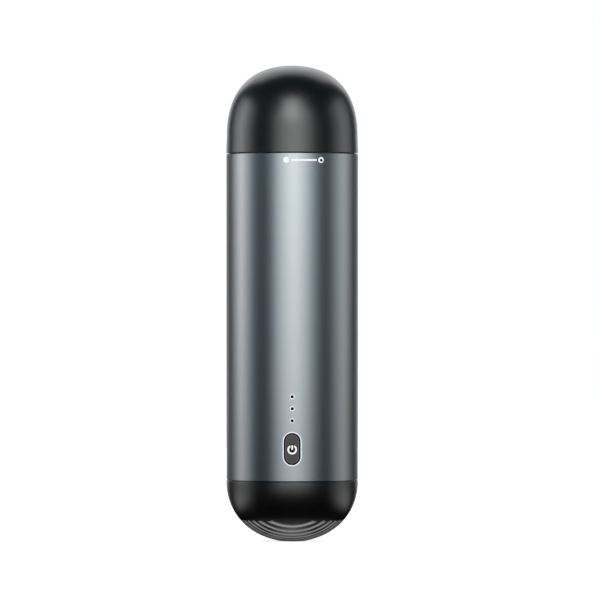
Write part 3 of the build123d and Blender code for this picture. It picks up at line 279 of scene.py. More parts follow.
for facing, bottom, top, openings, lips in windows:
    turn = np.abs((azimuth - facing + pi) % (2 * pi) - pi)
    cut = (turn < window_half_angle) & (middles[:, 2] > bottom) & (middles[:, 2] < top)
    faces, azimuth, middles = faces[~cut], azimuth[~cut], middles[~cut]
    rows = levels[(levels >= bottom - 1e-6) & (levels <= top + 1e-6)]
    side = -cos(facing)

    def flat_border(radius):
        """The window's outline in the drawing, through the grid's own points on it."""
        across = radius * np.sin(window_angles)
        low = np.stack([across, np.full_like(across, bottom)], 1)
        right = np.stack([np.full_like(rows, across[-1]), rows], 1)[1:-1]
        return np.concatenate([low, right, low[::-1] * (1, 0) + (0, top), right[::-1] * (-1, 1)])

    def on_tube(flat, depth=0.0):
        """The drawn point (x, z) at a depth in the wall, where y = -sqrt(r^2 - x^2) at the front."""
        radius = tube_radius + (tube_bore - tube_radius) * depth
        return np.stack([flat[:, 0], side * np.sqrt(radius**2 - flat[:, 0] ** 2), flat[:, 1]], 1)

    columns = np.arange(-window_half_width, window_half_width + 0.1, fill_step)
    across, up = np.meshgrid(columns, np.arange(bottom + 0.7, top, fill_step))
    filling = np.stack([across.ravel(), up.ravel()], 1)
    tube_parts += pierced(
        openings,
        lips,
        tube_radius - tube_bore,
        [flat_border(tube_radius)],
        [flat_border(tube_bore)],
        filling,
        on_tube,
    )
tube_parts.append((points, faces))
body_tube = make("body_tube_shell", "housing", tube_parts, ["body_tube"])

# %% [markdown]
# ## The nozzle cap
#
# A black dome that pulls off the suction mouth. Its profile is a short, slightly tapered skirt and a cubic
# Bezier curve. Half a sphere would be the quick way, but the real dome is fuller, and the curve has one
# number for that, which was fitted to the outline. The inner face repeats the curve 1.8 mm further in. Two
# half rings inside seat the cap on the cup's collar, and leave room at both sides for the collar's keys.

# %% The nozzle cap
nose_rim, dome_bottom, total_height = 192.6, 201.65, 236.2
dome_radius, rim_radius, skirt_bore, nose_wall = 32.5, 32.82, 31.02, 1.8
nose_fullness = 0.6395


def nose_curve(inset):
    """The dome's curve from its skirt to its pole, as far in as a wall thickness."""
    radius, height = dome_radius - inset, total_height - dome_bottom - inset
    corners = [
        (radius, dome_bottom),
        (radius, dome_bottom + nose_fullness * height),
        (nose_fullness * radius, dome_bottom + height),
        (0.0, dome_bottom + height),
    ]
    return bezier(corners, 64)


rim_corners = [(skirt_bore, dome_bottom - 2), (skirt_bore, nose_rim)]
rim_corners += [(rim_radius, nose_rim), (dome_radius, dome_bottom)]
rim = rounded(rim_corners, [0.2, 0.3])
skirt = np.linspace(rim[-2], (dome_radius, dome_bottom), 8)[1:-1]
nose_profile = np.concatenate([nose_curve(nose_wall)[::-1], rim[:-1], skirt, nose_curve(0.0)])
seat_inner, seat_outer, seat_bottom, seat_top, key_half = 29.0, 31.3, 194.0, 195.6, 1.8
seat = [(seat_outer, seat_top), (seat_inner, seat_top), (seat_inner, seat_bottom), (seat_outer, seat_bottom)]
seat = rounded(seat, [0.15, 0.15])
key_turn = asin(key_half / seat_inner)
nose_parts = [lathe(nose_profile)]
for facing in (0.0, pi):
    nose_parts += sector(seat, facing - pi / 2 + key_turn, facing + pi / 2 - key_turn)
nozzle_cap = make("nozzle_cap_shell", "nozzle_cap", nose_parts, ["nozzle_cap"])

# %% [markdown]
# ## The tail cap and its exhaust slots
#
# The lower dome lets the air out through 16 straight rows of slots, 3.15 mm apart. They are cut straight up
# from below, and end on a circle, so from the front their back walls show as nested arcs. The rows near the
# middle stop short of the foot. The drawing of this wall is the view from below, so `place` keeps x and y
# and looks up the height of the outer or inner curve at that radius. Round that drawing the cap is turned:
# the recess for the foot and the boss above it, and the rim with the sleeve that reaches up into the tube.

# %% The tail cap
tail_rim, tail_fullness, tail_pole = 30.15, 0.585, -0.35
tail_wall, boss_top, recess_radius, recess_top = 2.0, 4.0, 8.05, 2.0


def tail_curve(inset):
    """The tail dome's curve from its pole up to its rim, as far in as a wall thickness."""
    radius, depth = rim_radius - inset, tail_rim - tail_pole - inset
    corners = [
        (0.0, tail_rim - depth),
        (tail_fullness * radius, tail_rim - depth),
        (radius, tail_rim - tail_fullness * depth),
        (radius, tail_rim),
    ]
    return bezier(corners, 400)


outer_curve, inner_curve = tail_curve(0.0), tail_curve(tail_wall)


def on_dome(flat, depth=0.0):
    """The drawn point (x, y) at the height z = (1 - depth) outer(r) + depth inner(r)."""
    radius = np.hypot(flat[:, 0], flat[:, 1])
    outer = np.interp(radius, *outer_curve.T)
    inner = np.interp(radius, *inner_curve.T)
    return np.stack([flat[:, 0], flat[:, 1], outer + (inner - outer) * depth], 1)


def circle(radius, steps=192):
    """A circle in the drawing, through the points of a lathe's rows."""
    turn = np.arange(steps) * 2 * pi / steps
    return np.stack([radius * np.sin(turn), -radius * np.cos(turn)], 1)


vent_pitch, vent_width, vent_reach, foot_clear = 3.15, 1.4, 25.9, 10.3
field_outer, field_inner, boss_radius = 26.9, 9.4, 10.0
slot_lip, slot_depth = 0.24, 2.6
slots = []
for row in range(-8, 8):
    level = (row + 0.5) * vent_pitch
    far = (vent_reach**2 - level**2) ** 0.5
    near = (foot_clear**2 - level**2) ** 0.5 if abs(level) < foot_clear else 0.0
    middles = (-(far + near) / 2, (far + near) / 2) if near else (0.0,)
    half = (far - near) / 2 if near else far
    sides = max(4, int(2 * half / 0.8))
    slots += [((middle, level), half - vent_width / 2, vent_width / 2, False, 8, sides) for middle in middles]
across, up = np.meshgrid(np.arange(-26.25, 26.3, 0.75), np.arange(-8, 9) * vent_pitch)
wide, tall = np.meshgrid(np.arange(-12, 12.1, 1.0), np.arange(-12, 12.1, 1.0))
filling = np.stack([np.append(across, wide), np.append(up, tall)], 1)
tail_parts = pierced(
    slots,
    [slot_lip] * len(slots),
    slot_depth,
    [circle(field_outer), circle(field_inner)],
    [circle(field_outer), circle(boss_radius)],
    filling,
    on_dome,
)


def dome_profile(radii, depth=0.0):
    """The dome's points (radius, height) at these radii."""
    radii = np.atleast_1d(np.array(radii, float))
    return on_dome(np.stack([radii, 0 * radii], 1), depth)[:, [0, 2]]


bottom = dome_profile(np.linspace(8.3, field_inner, 4)[::-1])
recess_edge = (recess_radius, dome_profile(recess_radius)[0, 1])
foot_recess = rounded([bottom[-1], recess_edge, (recess_radius, recess_top), (0, recess_top)], [0.12, 0.2])
tail_parts.append(lathe(np.concatenate([bottom[:-1], foot_recess])))
boss_start = dome_profile(boss_radius, 1.0)[0, 1]
tail_parts.append(lathe(rounded([(boss_radius, boss_start), (boss_radius, boss_top), (0, boss_top)], [0.2])))
upper = outer_curve[outer_curve[:, 0] > field_outer]
upper = np.concatenate([dome_profile(field_outer), upper[6::7]])
upper = upper[upper[:, 1] < tail_rim - 0.8]
sleeve_outer, sleeve_inner, sleeve_top = 31.45, 29.45, 36.6
foam_seat, ledge_level, ledge_top = 26.27, 18.5, 20.0
ledge_radius = np.interp(ledge_level, inner_curve[:, 1], inner_curve[:, 0])
lower = inner_curve[(inner_curve[:, 0] > field_outer) & (inner_curve[:, 1] < ledge_level - 0.2)][::-1]
lower = np.concatenate([lower[::8], dome_profile(field_outer, 1.0)])
rim_corners = [
    upper[-1],
    (rim_radius, tail_rim),
    (sleeve_outer, tail_rim),
    (sleeve_outer, sleeve_top),
    (sleeve_inner, sleeve_top),
    (sleeve_inner, ledge_top),
    (foam_seat, ledge_top),
    (foam_seat, ledge_level),
    (ledge_radius, ledge_level),
]
tail_rim_part = rounded(rim_corners, [0.25, 0.1, 0.2, 0.2, 0.1, 0.1, 0.1])
tail_parts.append(lathe(np.concatenate([upper[:-1], tail_rim_part, lower])))
tail_cap = make("tail_cap_shell", "housing", tail_parts, ["tail_cap"])

# %% [markdown]
# ## The foot and the button
#
# The rubber foot is a low turned disc whose edge is rounded until it runs into the dome. The button's face is
# part of a cylinder a little smaller than the tube. Its outline shrinks ring by ring towards a line in the
# middle, and the outer rings fall away into a soft edge. Bending a flat plate with a modifier would do too,
# but rings with the same number of points make one closed grid, and the edge needs no bevel.

# %% The foot
foot_profile = rounded([(0, 0.0), (6.6, 0.0), (8.0, 0.42), (8.0, 2.0), (0, 2.0)], [0.5, 0.2, 0.2])
foot_pad = make("foot_pad_shell", "housing", [lathe(foot_profile, 96)], ["foot_pad"])


# %% The power button
face_radius = 32.575


def button_ring(radius, depth):
    """The button's outline with this end radius, on a cylinder this deep below its face."""
    flat = slot_outline(((0.0, button_level), button_straight, radius, True, 28, 12))
    face = face_radius - depth
    return np.stack([flat[:, 0], -np.sqrt(face**2 - flat[:, 0] ** 2), flat[:, 1]], 1)


def button_plane(radius, front):
    """The outline of the flange, on a flat plane at y = -front."""
    flat = slot_outline(((0.0, button_level), button_straight, radius, True, 28, 12))
    return np.stack([flat[:, 0], np.full(len(flat), -front), flat[:, 1]], 1)


button_rows = [button_ring(radius, 0.0) for radius in (0.0, 0.8, 1.6, 2.4, 3.0, 3.2)]
for t in np.linspace(0.0, 1.0, 7):
    button_rows.append(button_ring(button_end - 0.5 * (1 - t) ** 2, 0.5 * t**2))
button_rows += [button_ring(button_end, 0.6), button_ring(button_end, 1.2), button_plane(button_end, 30.75)]
button_rows += [button_plane(radius, front) for radius, front in ((5.1, 30.75), (5.275, 30.6), (5.275, 29.7))]
button_rows += [button_plane(radius, 29.56) for radius in (5.1, 2.0, 0.0)]
button_parts = [grid(np.array(button_rows), wrap_columns=True)]
power_button = make("power_button_shell", "power_button", button_parts, ["power_button"])

# %% [markdown]
# ## A small language for finishes
#
# A finish is a network of shader nodes. Written node by node it is hard to read, so two small classes turn
# it into arithmetic. `Value` wraps one number that varies over the surface, and adding or multiplying two
# of them adds a Math node. `Finish` holds one material and adds any other kind of node. All patterns read
# Object coordinates. Every piece has its origin at the middle of the foot, so one point has the same
# coordinates on all of them, and a mark can be given by its place in the object.


# %% Arithmetic on shader values
class Value:
    """A number that varies over a surface. Arithmetic on it adds Math nodes to its finish."""

    def __init__(self, finish, socket):
        self.finish = finish
        self.socket = socket

    def math(self, operation, *values, clamp=False):
        """A Math node on these values, in this order."""
        settings = {"operation": operation, "use_clamp": clamp}
        return self.finish.node("ShaderNodeMath", settings, dict(enumerate(values)))

    def __add__(self, other):
        return self.math("ADD", self, other)

    def __sub__(self, other):
        return self.math("SUBTRACT", self, other)

    def __rsub__(self, other):
        return self.math("SUBTRACT", other, self)

    def __mul__(self, other):
        return self.math("MULTIPLY", self, other)

    def __truediv__(self, other):
        return self.math("DIVIDE", self, other)

    def __lt__(self, other):
        return self.math("LESS_THAN", self, other)

    def __gt__(self, other):
        return self.math("GREATER_THAN", self, other)

    def __abs__(self):
        return self.math("ABSOLUTE", self)

    __radd__ = __add__
    __rmul__ = __mul__


class Finish:
    """One material: constants are set at once, and varying values are linked through feed()."""

    def __init__(self, name, colour, roughness, **constants):
        self.material = bpy.data.materials.new(name)
        self.material.use_nodes = True
        self.tree = self.material.node_tree
        self.surface = self.tree.nodes["Principled BSDF"]
        self.feed("Base Color", (*colour[:3], 1.0))
        self.feed("Roughness", roughness)
        for socket, value in constants.items():
            self.feed(socket.replace("_", " "), value)
        self.place = self.node("ShaderNodeTexCoord", output="Object")

    def node(self, kind, settings=None, inputs=None, output=0):
        """Adds a node: first its settings, then the values and links of its sockets."""
        made = self.tree.nodes.new(kind)
        for name, setting in (settings or {}).items():
            setattr(made, name, setting)
        for socket, value in (inputs or {}).items():
            self.join(made.inputs[socket], value)
        return Value(self, made.outputs[output])

    def join(self, socket, value):
        """Links a value to a socket, or sets a plain number, colour or vector on it."""
        if isinstance(value, Value):
            self.tree.links.new(value.socket, socket)
        else:
            socket.default_value = value

    def feed(self, socket, value):
        """Sets or links one socket of the surface shader."""
        self.join(self.surface.inputs[socket], value)

    def noise(self, scale, detail=2.0, stretch=(1.0, 1.0, 1.0), roughness=0.5):
        """Soft random mottling around 0.5. The scale is in grains a metre, before the stretch."""
        place = self.node("ShaderNodeMapping", None, {"Vector": self.place, "Scale": stretch})
        inputs = {"Vector": place, "Scale": scale, "Detail": detail, "Roughness": roughness}
        return self.node("ShaderNodeTexNoise", None, inputs)

    def spread(self, value, low, high, start=0.0, end=1.0):
        """A value between start and end turned into one between low and high, and held there outside."""
        inputs = {"Value": value, "From Min": start, "From Max": end, "To Min": low, "To Max": high}
        return self.node("ShaderNodeMapRange", None, inputs)

    def blend(self, factor, first, second):
        """A colour between two colours."""
        return self.node("ShaderNodeMix", {"data_type": "RGBA"}, {0: factor, 6: first, 7: second}, output=2)

    def axes(self):
        """The x, y and z of the point on the surface, in metres."""
        split = self.tree.nodes.new("ShaderNodeSeparateXYZ")
        self.tree.links.new(self.place.socket, split.inputs[0])
        return [Value(self, output) for output in split.outputs]

    def distance(self, *offsets):
        """The length of a vector given by its parts: sqrt(a^2 + b^2 + c^2)."""
        vector = self.node("ShaderNodeCombineXYZ", None, dict(enumerate(offsets)))
        return self.node("ShaderNodeVectorMath", {"operation": "LENGTH"}, {0: vector}, output="Value")

    def stadium(self, x, z, level, straight):
        """The distance in millimetres, in the x-z drawing, from an upright line with its middle at
        (0, level): sqrt(x^2 + max(|z - level| - straight, 0)^2)."""
        beyond = abs(z - level * millimetre) - straight * millimetre
        return self.distance(x, beyond.math("MAXIMUM", beyond, 0.0), 0.0) / millimetre

    def bump(self, height, depth):
        """Raises the surface by a height between 0 and 1 times a depth in millimetres."""
        inputs = {"Height": height, "Distance": depth * millimetre}
        self.feed("Normal", self.node("ShaderNodeBump", None, inputs))


def grey(level):
    """An even grey as a colour."""
    return (level, level, level, 1.0)


def shade(colour, factor):
    """A colour made darker or lighter by a factor."""
    return (*(min(1.0, part * factor) for part in colour[:3]), 1.0)


finishes = {}

# %% [markdown]
# ## Satin anodised aluminium
#
# Anodised aluminium is a metal with a thin matt skin. Its colour goes into the reflection itself, so the
# finish is fully metallic. Fine grain runs along the tube from the drawing die. A picture of drawn metal
# would show a seam and repeat itself, and noise stretched along Z does neither. The base colour also holds
# painted light. Three painted reflection tints meet between a middle strip, the flanks and the sides, and
# painted shade makes the middle and the flanks a little darker towards the foot. The button's opening and
# the three light holes have a cut rim, and each rim carries a painted highlight, pale and less metallic.
# Each rim is a mask: the points whose distance in the drawing from the opening's middle line is less than
# the opening's radius and a little more. The unlocked mark is a ring round a small black dot. Its hole shows
# the tube, so the tube is inked there.

# %% The tube's finish
tube = Finish("tube_metal", (0.46, 0.508, 0.53), 0.33, Specular_Tint=grey(0.6))
x, y, z = tube.axes()
at_front = (y < -0.03) * (tube.distance(x, y, 0.0) > 32.2 * millimetre)
# The cut rims round the button's opening and the light holes carry a painted highlight: a pale, less metallic
# base that stays bright from any side.
button_rim, light_rim, rim_edge = 0.6, 0.45, 0.1
cut_rim_highlight = 0.0
for (_, level), straight, radius, *_ in [button_opening, *light_openings]:
    reach = tube.stadium(x, z, level, straight)
    rim_end = radius + (button_rim if straight else light_rim)
    cut_rim_highlight = tube.spread(reach, 1.0, 0.0, rim_end - rim_edge, rim_end + rim_edge) + cut_rim_highlight
cut_rim_highlight = at_front * cut_rim_highlight
unlocked_turn, mark_radius, mark_level = radians(25.984), 32.7, 188.55
dot = [mark_radius * sin(unlocked_turn), -mark_radius * cos(unlocked_turn), mark_level]
dot = [part * millimetre for part in dot]


def from_dot(finish, x, y, z):
    """The distance of (x, y, z) from the middle of the unlocked mark."""
    return finish.distance(x - dot[0], y - dot[1], z - dot[2])


ink = from_dot(tube, x, y, z) < 0.85 * millimetre
grain = tube.noise(900.0, 3.0, (1.0, 1.0, 0.03))
skin = tube.noise(5200.0, 2.0)
# Painted reflection tints: the middle is tinted like the front highlight, the flanks bluer like the dark
# bands, and the sides more neutral like the side highlights.
middle = tube.blend(grain, (0.436, 0.474, 0.49, 1.0), (0.464, 0.504, 0.52, 1.0))
flank = tube.blend(grain, (0.412, 0.478, 0.524, 1.0), (0.438, 0.508, 0.556, 1.0))
side = tube.blend(grain, (0.464, 0.476, 0.484, 1.0), (0.492, 0.506, 0.514, 1.0))
satin_and_painted_light = tube.blend(tube.spread(abs(x), 0.0, 1.0, 0.002, 0.01), middle, flank)
# Painted shade: the middle and the flanks darken towards the foot.
satin_and_painted_light = tube.blend(tube.spread(z, 0.22, 0.0, 0.03, 0.19), satin_and_painted_light, grey(0.0))
satin_and_painted_light = tube.blend(tube.spread(abs(x), 0.0, 1.0, 0.018, 0.026), satin_and_painted_light, side)
satin_and_painted_light = tube.blend(cut_rim_highlight, satin_and_painted_light, (0.8, 0.83, 0.84, 1.0))
tube.feed("Base Color", tube.blend(ink, satin_and_painted_light, grey(0.001)))
tube.feed("Metallic", 1.0 - 0.8 * cut_rim_highlight)
tube.feed("Roughness", tube.spread(0.6 * grain + 0.4 * skin, 0.32, 0.36) + 0.15 * cut_rim_highlight)
tube.bump(0.7 * skin + 0.3 * grain, 0.002)
finishes["tube_metal"] = tube
print("tube finish", len(tube.tree.nodes), "nodes")

# %% [markdown]
# ## Satin black shells
#
# The caps are almost perfectly black plastic with a satin lacquer: nearly all that is seen of them is their
# reflection. The base is close to zero, and a reflectance of about 0.11 head-on with a roughness of a third
# gives the soft grey glows that the studio puts on them. Painting the glows into the base colour would look
# right from the front alone. Towards the sides a clear coat is laid on as a painted sheen, which brightens
# the side glows. The walls of the exhaust slots carry a painted highlight, a pale base for the arcs of light
# on them, so a mask finds them: stripes a little wider than a slot and a pitch apart along y, low enough and
# near enough to the axis. They get a grey base and no coat.

# %% The caps' finish
cap_gloss = {"IOR": 1.8, "Specular_IOR_Level": 0.66, "Coat_Roughness": 0.3}
caps = Finish("shell_black", grey(0.001), 0.31, **cap_gloss)
vent_top, stripe_edge = 16.5, 0.1
x, y, z = caps.axes()
row = y / (vent_pitch * millimetre)
from_row = abs(row - row.math("FLOOR", row) - 0.5) * vent_pitch
among_vents = (z < vent_top * millimetre) * (caps.distance(x, y, 0.0) < vent_reach * millimetre)
# Painted highlight: the slot walls get a pale grey base for the arcs of light on them.
slot_wall_highlight = (from_row < 0.5 * vent_width + stripe_edge) * among_vents
fine, broad = caps.noise(4200.0, 3.0), caps.noise(70.0, 2.0)
black = caps.blend(broad, grey(0.0006), grey(0.0012))
caps.feed("Base Color", caps.blend(slot_wall_highlight, black, grey(0.2)))
# Painted sheen: a clear coat laid on towards the sides, where it brightens the side glows.
painted_side_sheen = caps.spread(abs(x), 0.0, 1.0, 0.018, 0.03)
caps.feed("Coat Weight", painted_side_sheen * (1.0 - slot_wall_highlight))
caps.feed("Roughness", caps.spread(0.5 * fine + 0.5 * broad, 0.29, 0.34))
caps.bump(fine, 0.0015)
finishes["shell_black"] = caps
print("caps' finish", len(caps.tree.nodes), "nodes")

# %% [markdown]
# ## Families of finishes
#
# The other pieces share a few ways of being made, so each family is one function with a few settings.
# Moulded plastic has a spark-eroded texture, rubber a matt bloom, steel a rolling grain in one direction,
# paper and foam are fibrous, and printed ink is even. The colours come from the model's own record.


# %% Families of finishes
def moulded(slot, colour, roughness=0.45, grain=2600.0, depth=0.004, **constants):
    """Injection-moulded plastic: a fine eroded texture, slightly uneven gloss and colour."""
    finish = Finish(slot, colour, roughness, **constants)
    fine, broad = finish.noise(grain, 3.0), finish.noise(110.0, 2.0)
    finish.feed("Base Color", finish.blend(broad, shade(colour, 0.9), shade(colour, 1.08)))
    finish.feed("Roughness", finish.spread(0.7 * fine + 0.3 * broad, roughness - 0.06, roughness + 0.06))
    finish.bump(fine, depth)
    return finish


def rubber(slot, colour, roughness=0.78):
    """Moulded rubber: matt, with a paler bloom in broad soft patches and fine pits."""
    finish = Finish(slot, colour, roughness, Specular_IOR_Level=0.35)
    pits, bloom = finish.noise(1900.0, 4.0, roughness=0.65), finish.noise(60.0, 3.0)
    patches = finish.spread(bloom, 0.0, 1.0, 0.35, 0.7)
    finish.feed("Base Color", finish.blend(patches, colour, shade(colour, 1.5)))
    finish.feed("Roughness", finish.spread(pits, roughness - 0.1, roughness + 0.1))
    finish.bump(pits, 0.02)
    return finish


def steel(slot, colour, roughness=0.32, stretch=(1.0, 1.0, 0.04), grain=1500.0):
    """Rolled or drawn metal: streaks along one direction in its gloss, its colour and its surface."""
    finish = Finish(slot, colour, roughness, Metallic=1.0)
    streak, stain = finish.noise(grain, 4.0, stretch), finish.noise(45.0, 3.0)
    finish.feed("Base Color", finish.blend(stain, shade(colour, 0.86), shade(colour, 1.06)))
    finish.feed("Roughness", finish.spread(0.6 * streak + 0.4 * stain, roughness - 0.1, roughness + 0.14))
    finish.bump(streak, 0.004)
    return finish


def fibrous(slot, colour, scale, depth, roughness=0.9):
    """Paper or foam: open cells or fibres that shade one another."""
    finish = Finish(slot, colour, roughness, Specular_IOR_Level=0.2)
    place = finish.node("ShaderNodeMapping", None, {"Vector": finish.place, "Scale": (1.0, 1.0, 0.7)})
    cells = finish.node("ShaderNodeTexVoronoi", {"feature": "F1"}, {"Vector": place, "Scale": scale})
    fluff = finish.noise(scale * 1.7, 4.0, roughness=0.6)
    height = 0.6 * cells + 0.4 * fluff
    hollow = finish.spread(height, 0.0, 1.0, 0.2, 0.6)
    finish.feed("Base Color", finish.blend(hollow, shade(colour, 1.05), shade(colour, 0.6)))
    finish.feed("Roughness", finish.spread(fluff, roughness - 0.08, min(1.0, roughness + 0.06)))
    finish.bump(1.0 - height, depth)
    return finish


def printed(slot, colour, roughness=0.5):
    """Screen-printed ink: even and opaque, with the faint mesh of the screen in its surface."""
    finish = Finish(slot, colour, roughness)
    mesh_grain, tone = finish.noise(6000.0, 2.0), finish.noise(200.0, 1.0)
    finish.feed("Base Color", finish.blend(tone, shade(colour, 0.98), shade(colour, 1.04)))
    finish.feed("Roughness", finish.spread(mesh_grain, roughness - 0.05, roughness + 0.05))
    finish.bump(mesh_grain, 0.001)
    return finish


# %% The colours in the record, and the families they belong to
colours = {entry["slot"]: (*entry["base_color"][:3], 1.0) for entry in frame["record"]["materials"]}
families = {
    moulded: "frame_grey bell_plastic fan_nylon chip_black magnet_grey carbon cell_sleeve",
    rubber: "foot_rubber seal_rubber flap_rubber",
    steel: "cage_steel pin_steel screw_steel motor_steel port_steel nickel bronze",
}
for family, members in families.items():
    for slot in members.split():
        finishes[slot] = family(slot, colours[slot])
finishes["lens_smoke"] = moulded("lens_smoke", grey(0.002), 0.3, 900.0, 0.001, Specular_IOR_Level=0.04)
finishes["foam_grey"] = fibrous("foam_grey", colours["foam_grey"], 1100.0, 0.25)
finishes["filter_paper"] = fibrous("filter_paper", colours["filter_paper"], 2600.0, 0.03)
finishes["light_white"] = printed("light_white", colours["light_white"], 0.3)
print("finishes so far", len(finishes))

# %% [markdown]
# ## The button and the printed marks
#
# The button is dark grey plastic. Its edge is black, which is painted shade of the gap and the bevel, a
# slightly lighter line just inside the edge is a painted highlight on the bevel, and a black disc lies under
# the power symbol. Each is a band of a distance, from the button's middle line or from the symbol's middle.
# Where black has to stay black under a strong lamp, the finish turns metallic: a metal has no other colour
# than its reflection, and a black one reflects almost nothing head-on. The white marks are printed ink, and
# the unlocked mark's dot reaches over the ring's inner edge in the same black.

# %% The button's finish
button = Finish("button_grey", grey(0.04), 0.5, Specular_IOR_Level=0.35)
symbol_level = 46.3
x, y, z = button.axes()
reach = button.stadium(x, z, button_level, button_straight)
# Painted shade: the black, metallic edge stands for the shade of the gap and the bevel.
rim = button.spread(reach, 0.0, 1.0, 3.36, 3.46)
# Painted highlight: a lighter line on the bevel, just inside the edge.
line = button.spread(reach, 0.0, 1.0, 2.95, 3.1) * (1.0 - rim)
disc = button.spread(button.stadium(x, z, symbol_level, 0.0), 1.0, 0.0, 2.55, 2.8)
face_grain = button.noise(4200.0, 3.0)
face = button.blend(face_grain, grey(0.036), grey(0.046))
face = button.blend(line, face, grey(0.085))
face = button.blend(disc, face, grey(0.002))
button.feed("Base Color", button.blend(rim, face, grey(0.0005)))
button.feed("Metallic", rim + disc)
button.feed("Roughness", button.spread(face_grain, 0.45, 0.55))
button.bump(face_grain, 0.002)
finishes["button_grey"] = button
print("button finish", len(button.tree.nodes), "nodes")

# %% The marks' finish
marks = printed("mark_white", grey(0.7))
x, y, z = marks.axes()
hole = from_dot(marks, x, y, z) < 0.68 * millimetre
white = marks.blend(marks.noise(200.0, 1.0), grey(0.69), grey(0.72))
marks.feed("Base Color", marks.blend(hole, white, grey(0.001)))
marks.feed("Metallic", hole)
finishes["mark_white"] = marks
print("finishes so far", len(finishes))

# %% [markdown]
# ## Finishes with a pattern of their own
#
# A few pieces carry a pattern that tells what they are: enamelled wire lies turn beside turn, the armature is
# a stack of thin sheets, a circuit board has copper traces under green lacquer, leads come in red and black
# by the side they run on, and the cup is smoked but clear. All are worked out from the place of the point, so
# no piece has to be unwrapped.


# %% Copper, sheets, boards, leads and the smoked cup
def layered(slot, colour, pitch, roughness, **constants):
    """Turns or sheets stacked along Z: a wave of the given pitch in millimetres, dark in its gaps, which is
    painted shade in the grooves between turns of wire and the dark joints between sheets.
    """
    finish = Finish(slot, colour, roughness, Metallic=1.0, **constants)
    turns = finish.axes()[2] * (2 * pi / (pitch * millimetre))
    crest = finish.spread(turns.math("SINE", turns), 0.0, 1.0, -1.0, 0.2)
    finish.feed("Base Color", finish.blend(crest, shade(colour, 0.3), colour))
    finish.feed("Roughness", finish.spread(finish.noise(800.0), roughness - 0.08, roughness + 0.1))
    finish.bump(crest, 0.05)
    return finish


finishes["copper"] = layered("copper", colours["copper"], 0.45, 0.3, Coat_Weight=0.6)
finishes["lamination"] = layered("lamination", colours["lamination"], 0.5, 0.4)

board = Finish("board_green", colours["board_green"], 0.3, Coat_Weight=0.5)
x, y, z = board.axes()
tracks = board.node(
    "ShaderNodeTexBrick",
    {"offset": 0.5},
    {"Vector": board.place, "Scale": 260.0, "Mortar Size": 0.03, "Mortar Smooth": 0.2},
    output="Fac",
)
board.feed("Base Color", board.blend(tracks, colours["board_green"], (0.05, 0.24, 0.11, 1.0)))
board.feed("Roughness", board.spread(board.noise(700.0), 0.24, 0.4))
board.bump(tracks, 0.02)
finishes["board_green"] = board

leads = Finish("lead_sleeve", (0.4, 0.03, 0.02), 0.45)
across = leads.axes()[0]
leads.feed("Base Color", leads.blend(across < 0.0, (0.42, 0.03, 0.02, 1.0), (0.02, 0.02, 0.02, 1.0)))
leads.feed("Roughness", leads.spread(leads.noise(1500.0, 3.0), 0.38, 0.55))
leads.bump(leads.noise(2400.0, 3.0), 0.006)
finishes["lead_sleeve"] = leads

cup = Finish("cup_smoke", (0.10, 0.105, 0.11), 0.12, Coat_Weight=0.4)
haze = cup.noise(120.0, 3.0)
cup.feed("Base Color", cup.blend(haze, (0.09, 0.095, 0.1, 1.0), (0.12, 0.125, 0.13, 1.0)))
cup.feed("Roughness", cup.spread(haze, 0.08, 0.18))
cup.feed("Alpha", cup.spread(haze, 0.52, 0.6))
finishes["cup_smoke"] = cup
print("finishes", len(finishes))

# %% [markdown]
# ## Every piece gets its finish
#
# The record names a slot for each piece of the model, and a slot's finish has the same name. The five new
# shells take the slots of the pieces that they stand for.

# %% Each piece gets its finish
subparts = {entry["node"]: entry["material_slot"] for entry in frame["record"]["subparts"]}
dressed = {piece.name: piece for piece in (body_tube, nozzle_cap, tail_cap, foot_pad, power_button)}
dressed_slots = {
    "body_tube_shell": "tube_metal",
    "nozzle_cap_shell": "shell_black",
    "tail_cap_shell": "shell_black",
    "foot_pad_shell": "foot_rubber",
    "power_button_shell": "button_grey",
}
for name, slot in subparts.items():
    frame["nodes"][name].data.materials.clear()
    frame["nodes"][name].data.materials.append(finishes[slot].material)
for name, slot in dressed_slots.items():
    dressed[name].data.materials.append(finishes[slot].material)
print("dressed", len(subparts), "pieces of the model and", len(dressed), "shells")

# %% [markdown]
# ## Floor, backdrop and what the metal mirrors
#
# The picture's ground is plain white. The camera sees a white world behind a pale floor. The floor glows a
# little by itself so that its lit parts reach white while the shadow round the foot stays. A white floor all
# round would fill the metal's dark bands and grey the black caps, so it is hidden from reflections, and two
# plates that only reflections see lie in its place. The table is black near the object, and further out it
# glows in front, at the back and at both sides, which also keeps the tube bright for a camera that looks down
# on it. The card is a small sheet under the tail that puts a soft light on the ribs between the slots.


# %% The stage
def plate(name, low, high, level, material):
    """A flat rectangle of the stage between two corners, in metres."""
    corners = [(low[0], low[1]), (high[0], low[1]), (high[0], high[1]), (low[0], high[1])]
    mesh = bpy.data.meshes.new(name)
    mesh.from_pydata([(*corner, level) for corner in corners], [], [(0, 1, 2, 3)])
    piece = bpy.data.objects.new(name, mesh)
    bpy.context.scene.collection.objects.link(piece)
    mesh.materials.append(material)
    print(name, "from", low, "to", high, "at", level)
    return piece


def glowing(finish, glow, low, high):
    """Gives a finish its own light: a grey between two levels, where 1 is white."""
    finish.feed("Emission Color", finish.blend(glow, grey(low), grey(high)))
    finish.feed("Emission Strength", 1.0)
    return finish.material


def mirrored_only(piece):
    """Leaves a plate to the reflections: neither the camera nor the floor's light sees it."""
    piece.visible_camera = piece.visible_diffuse = False
    piece.visible_shadow = piece.visible_transmission = False


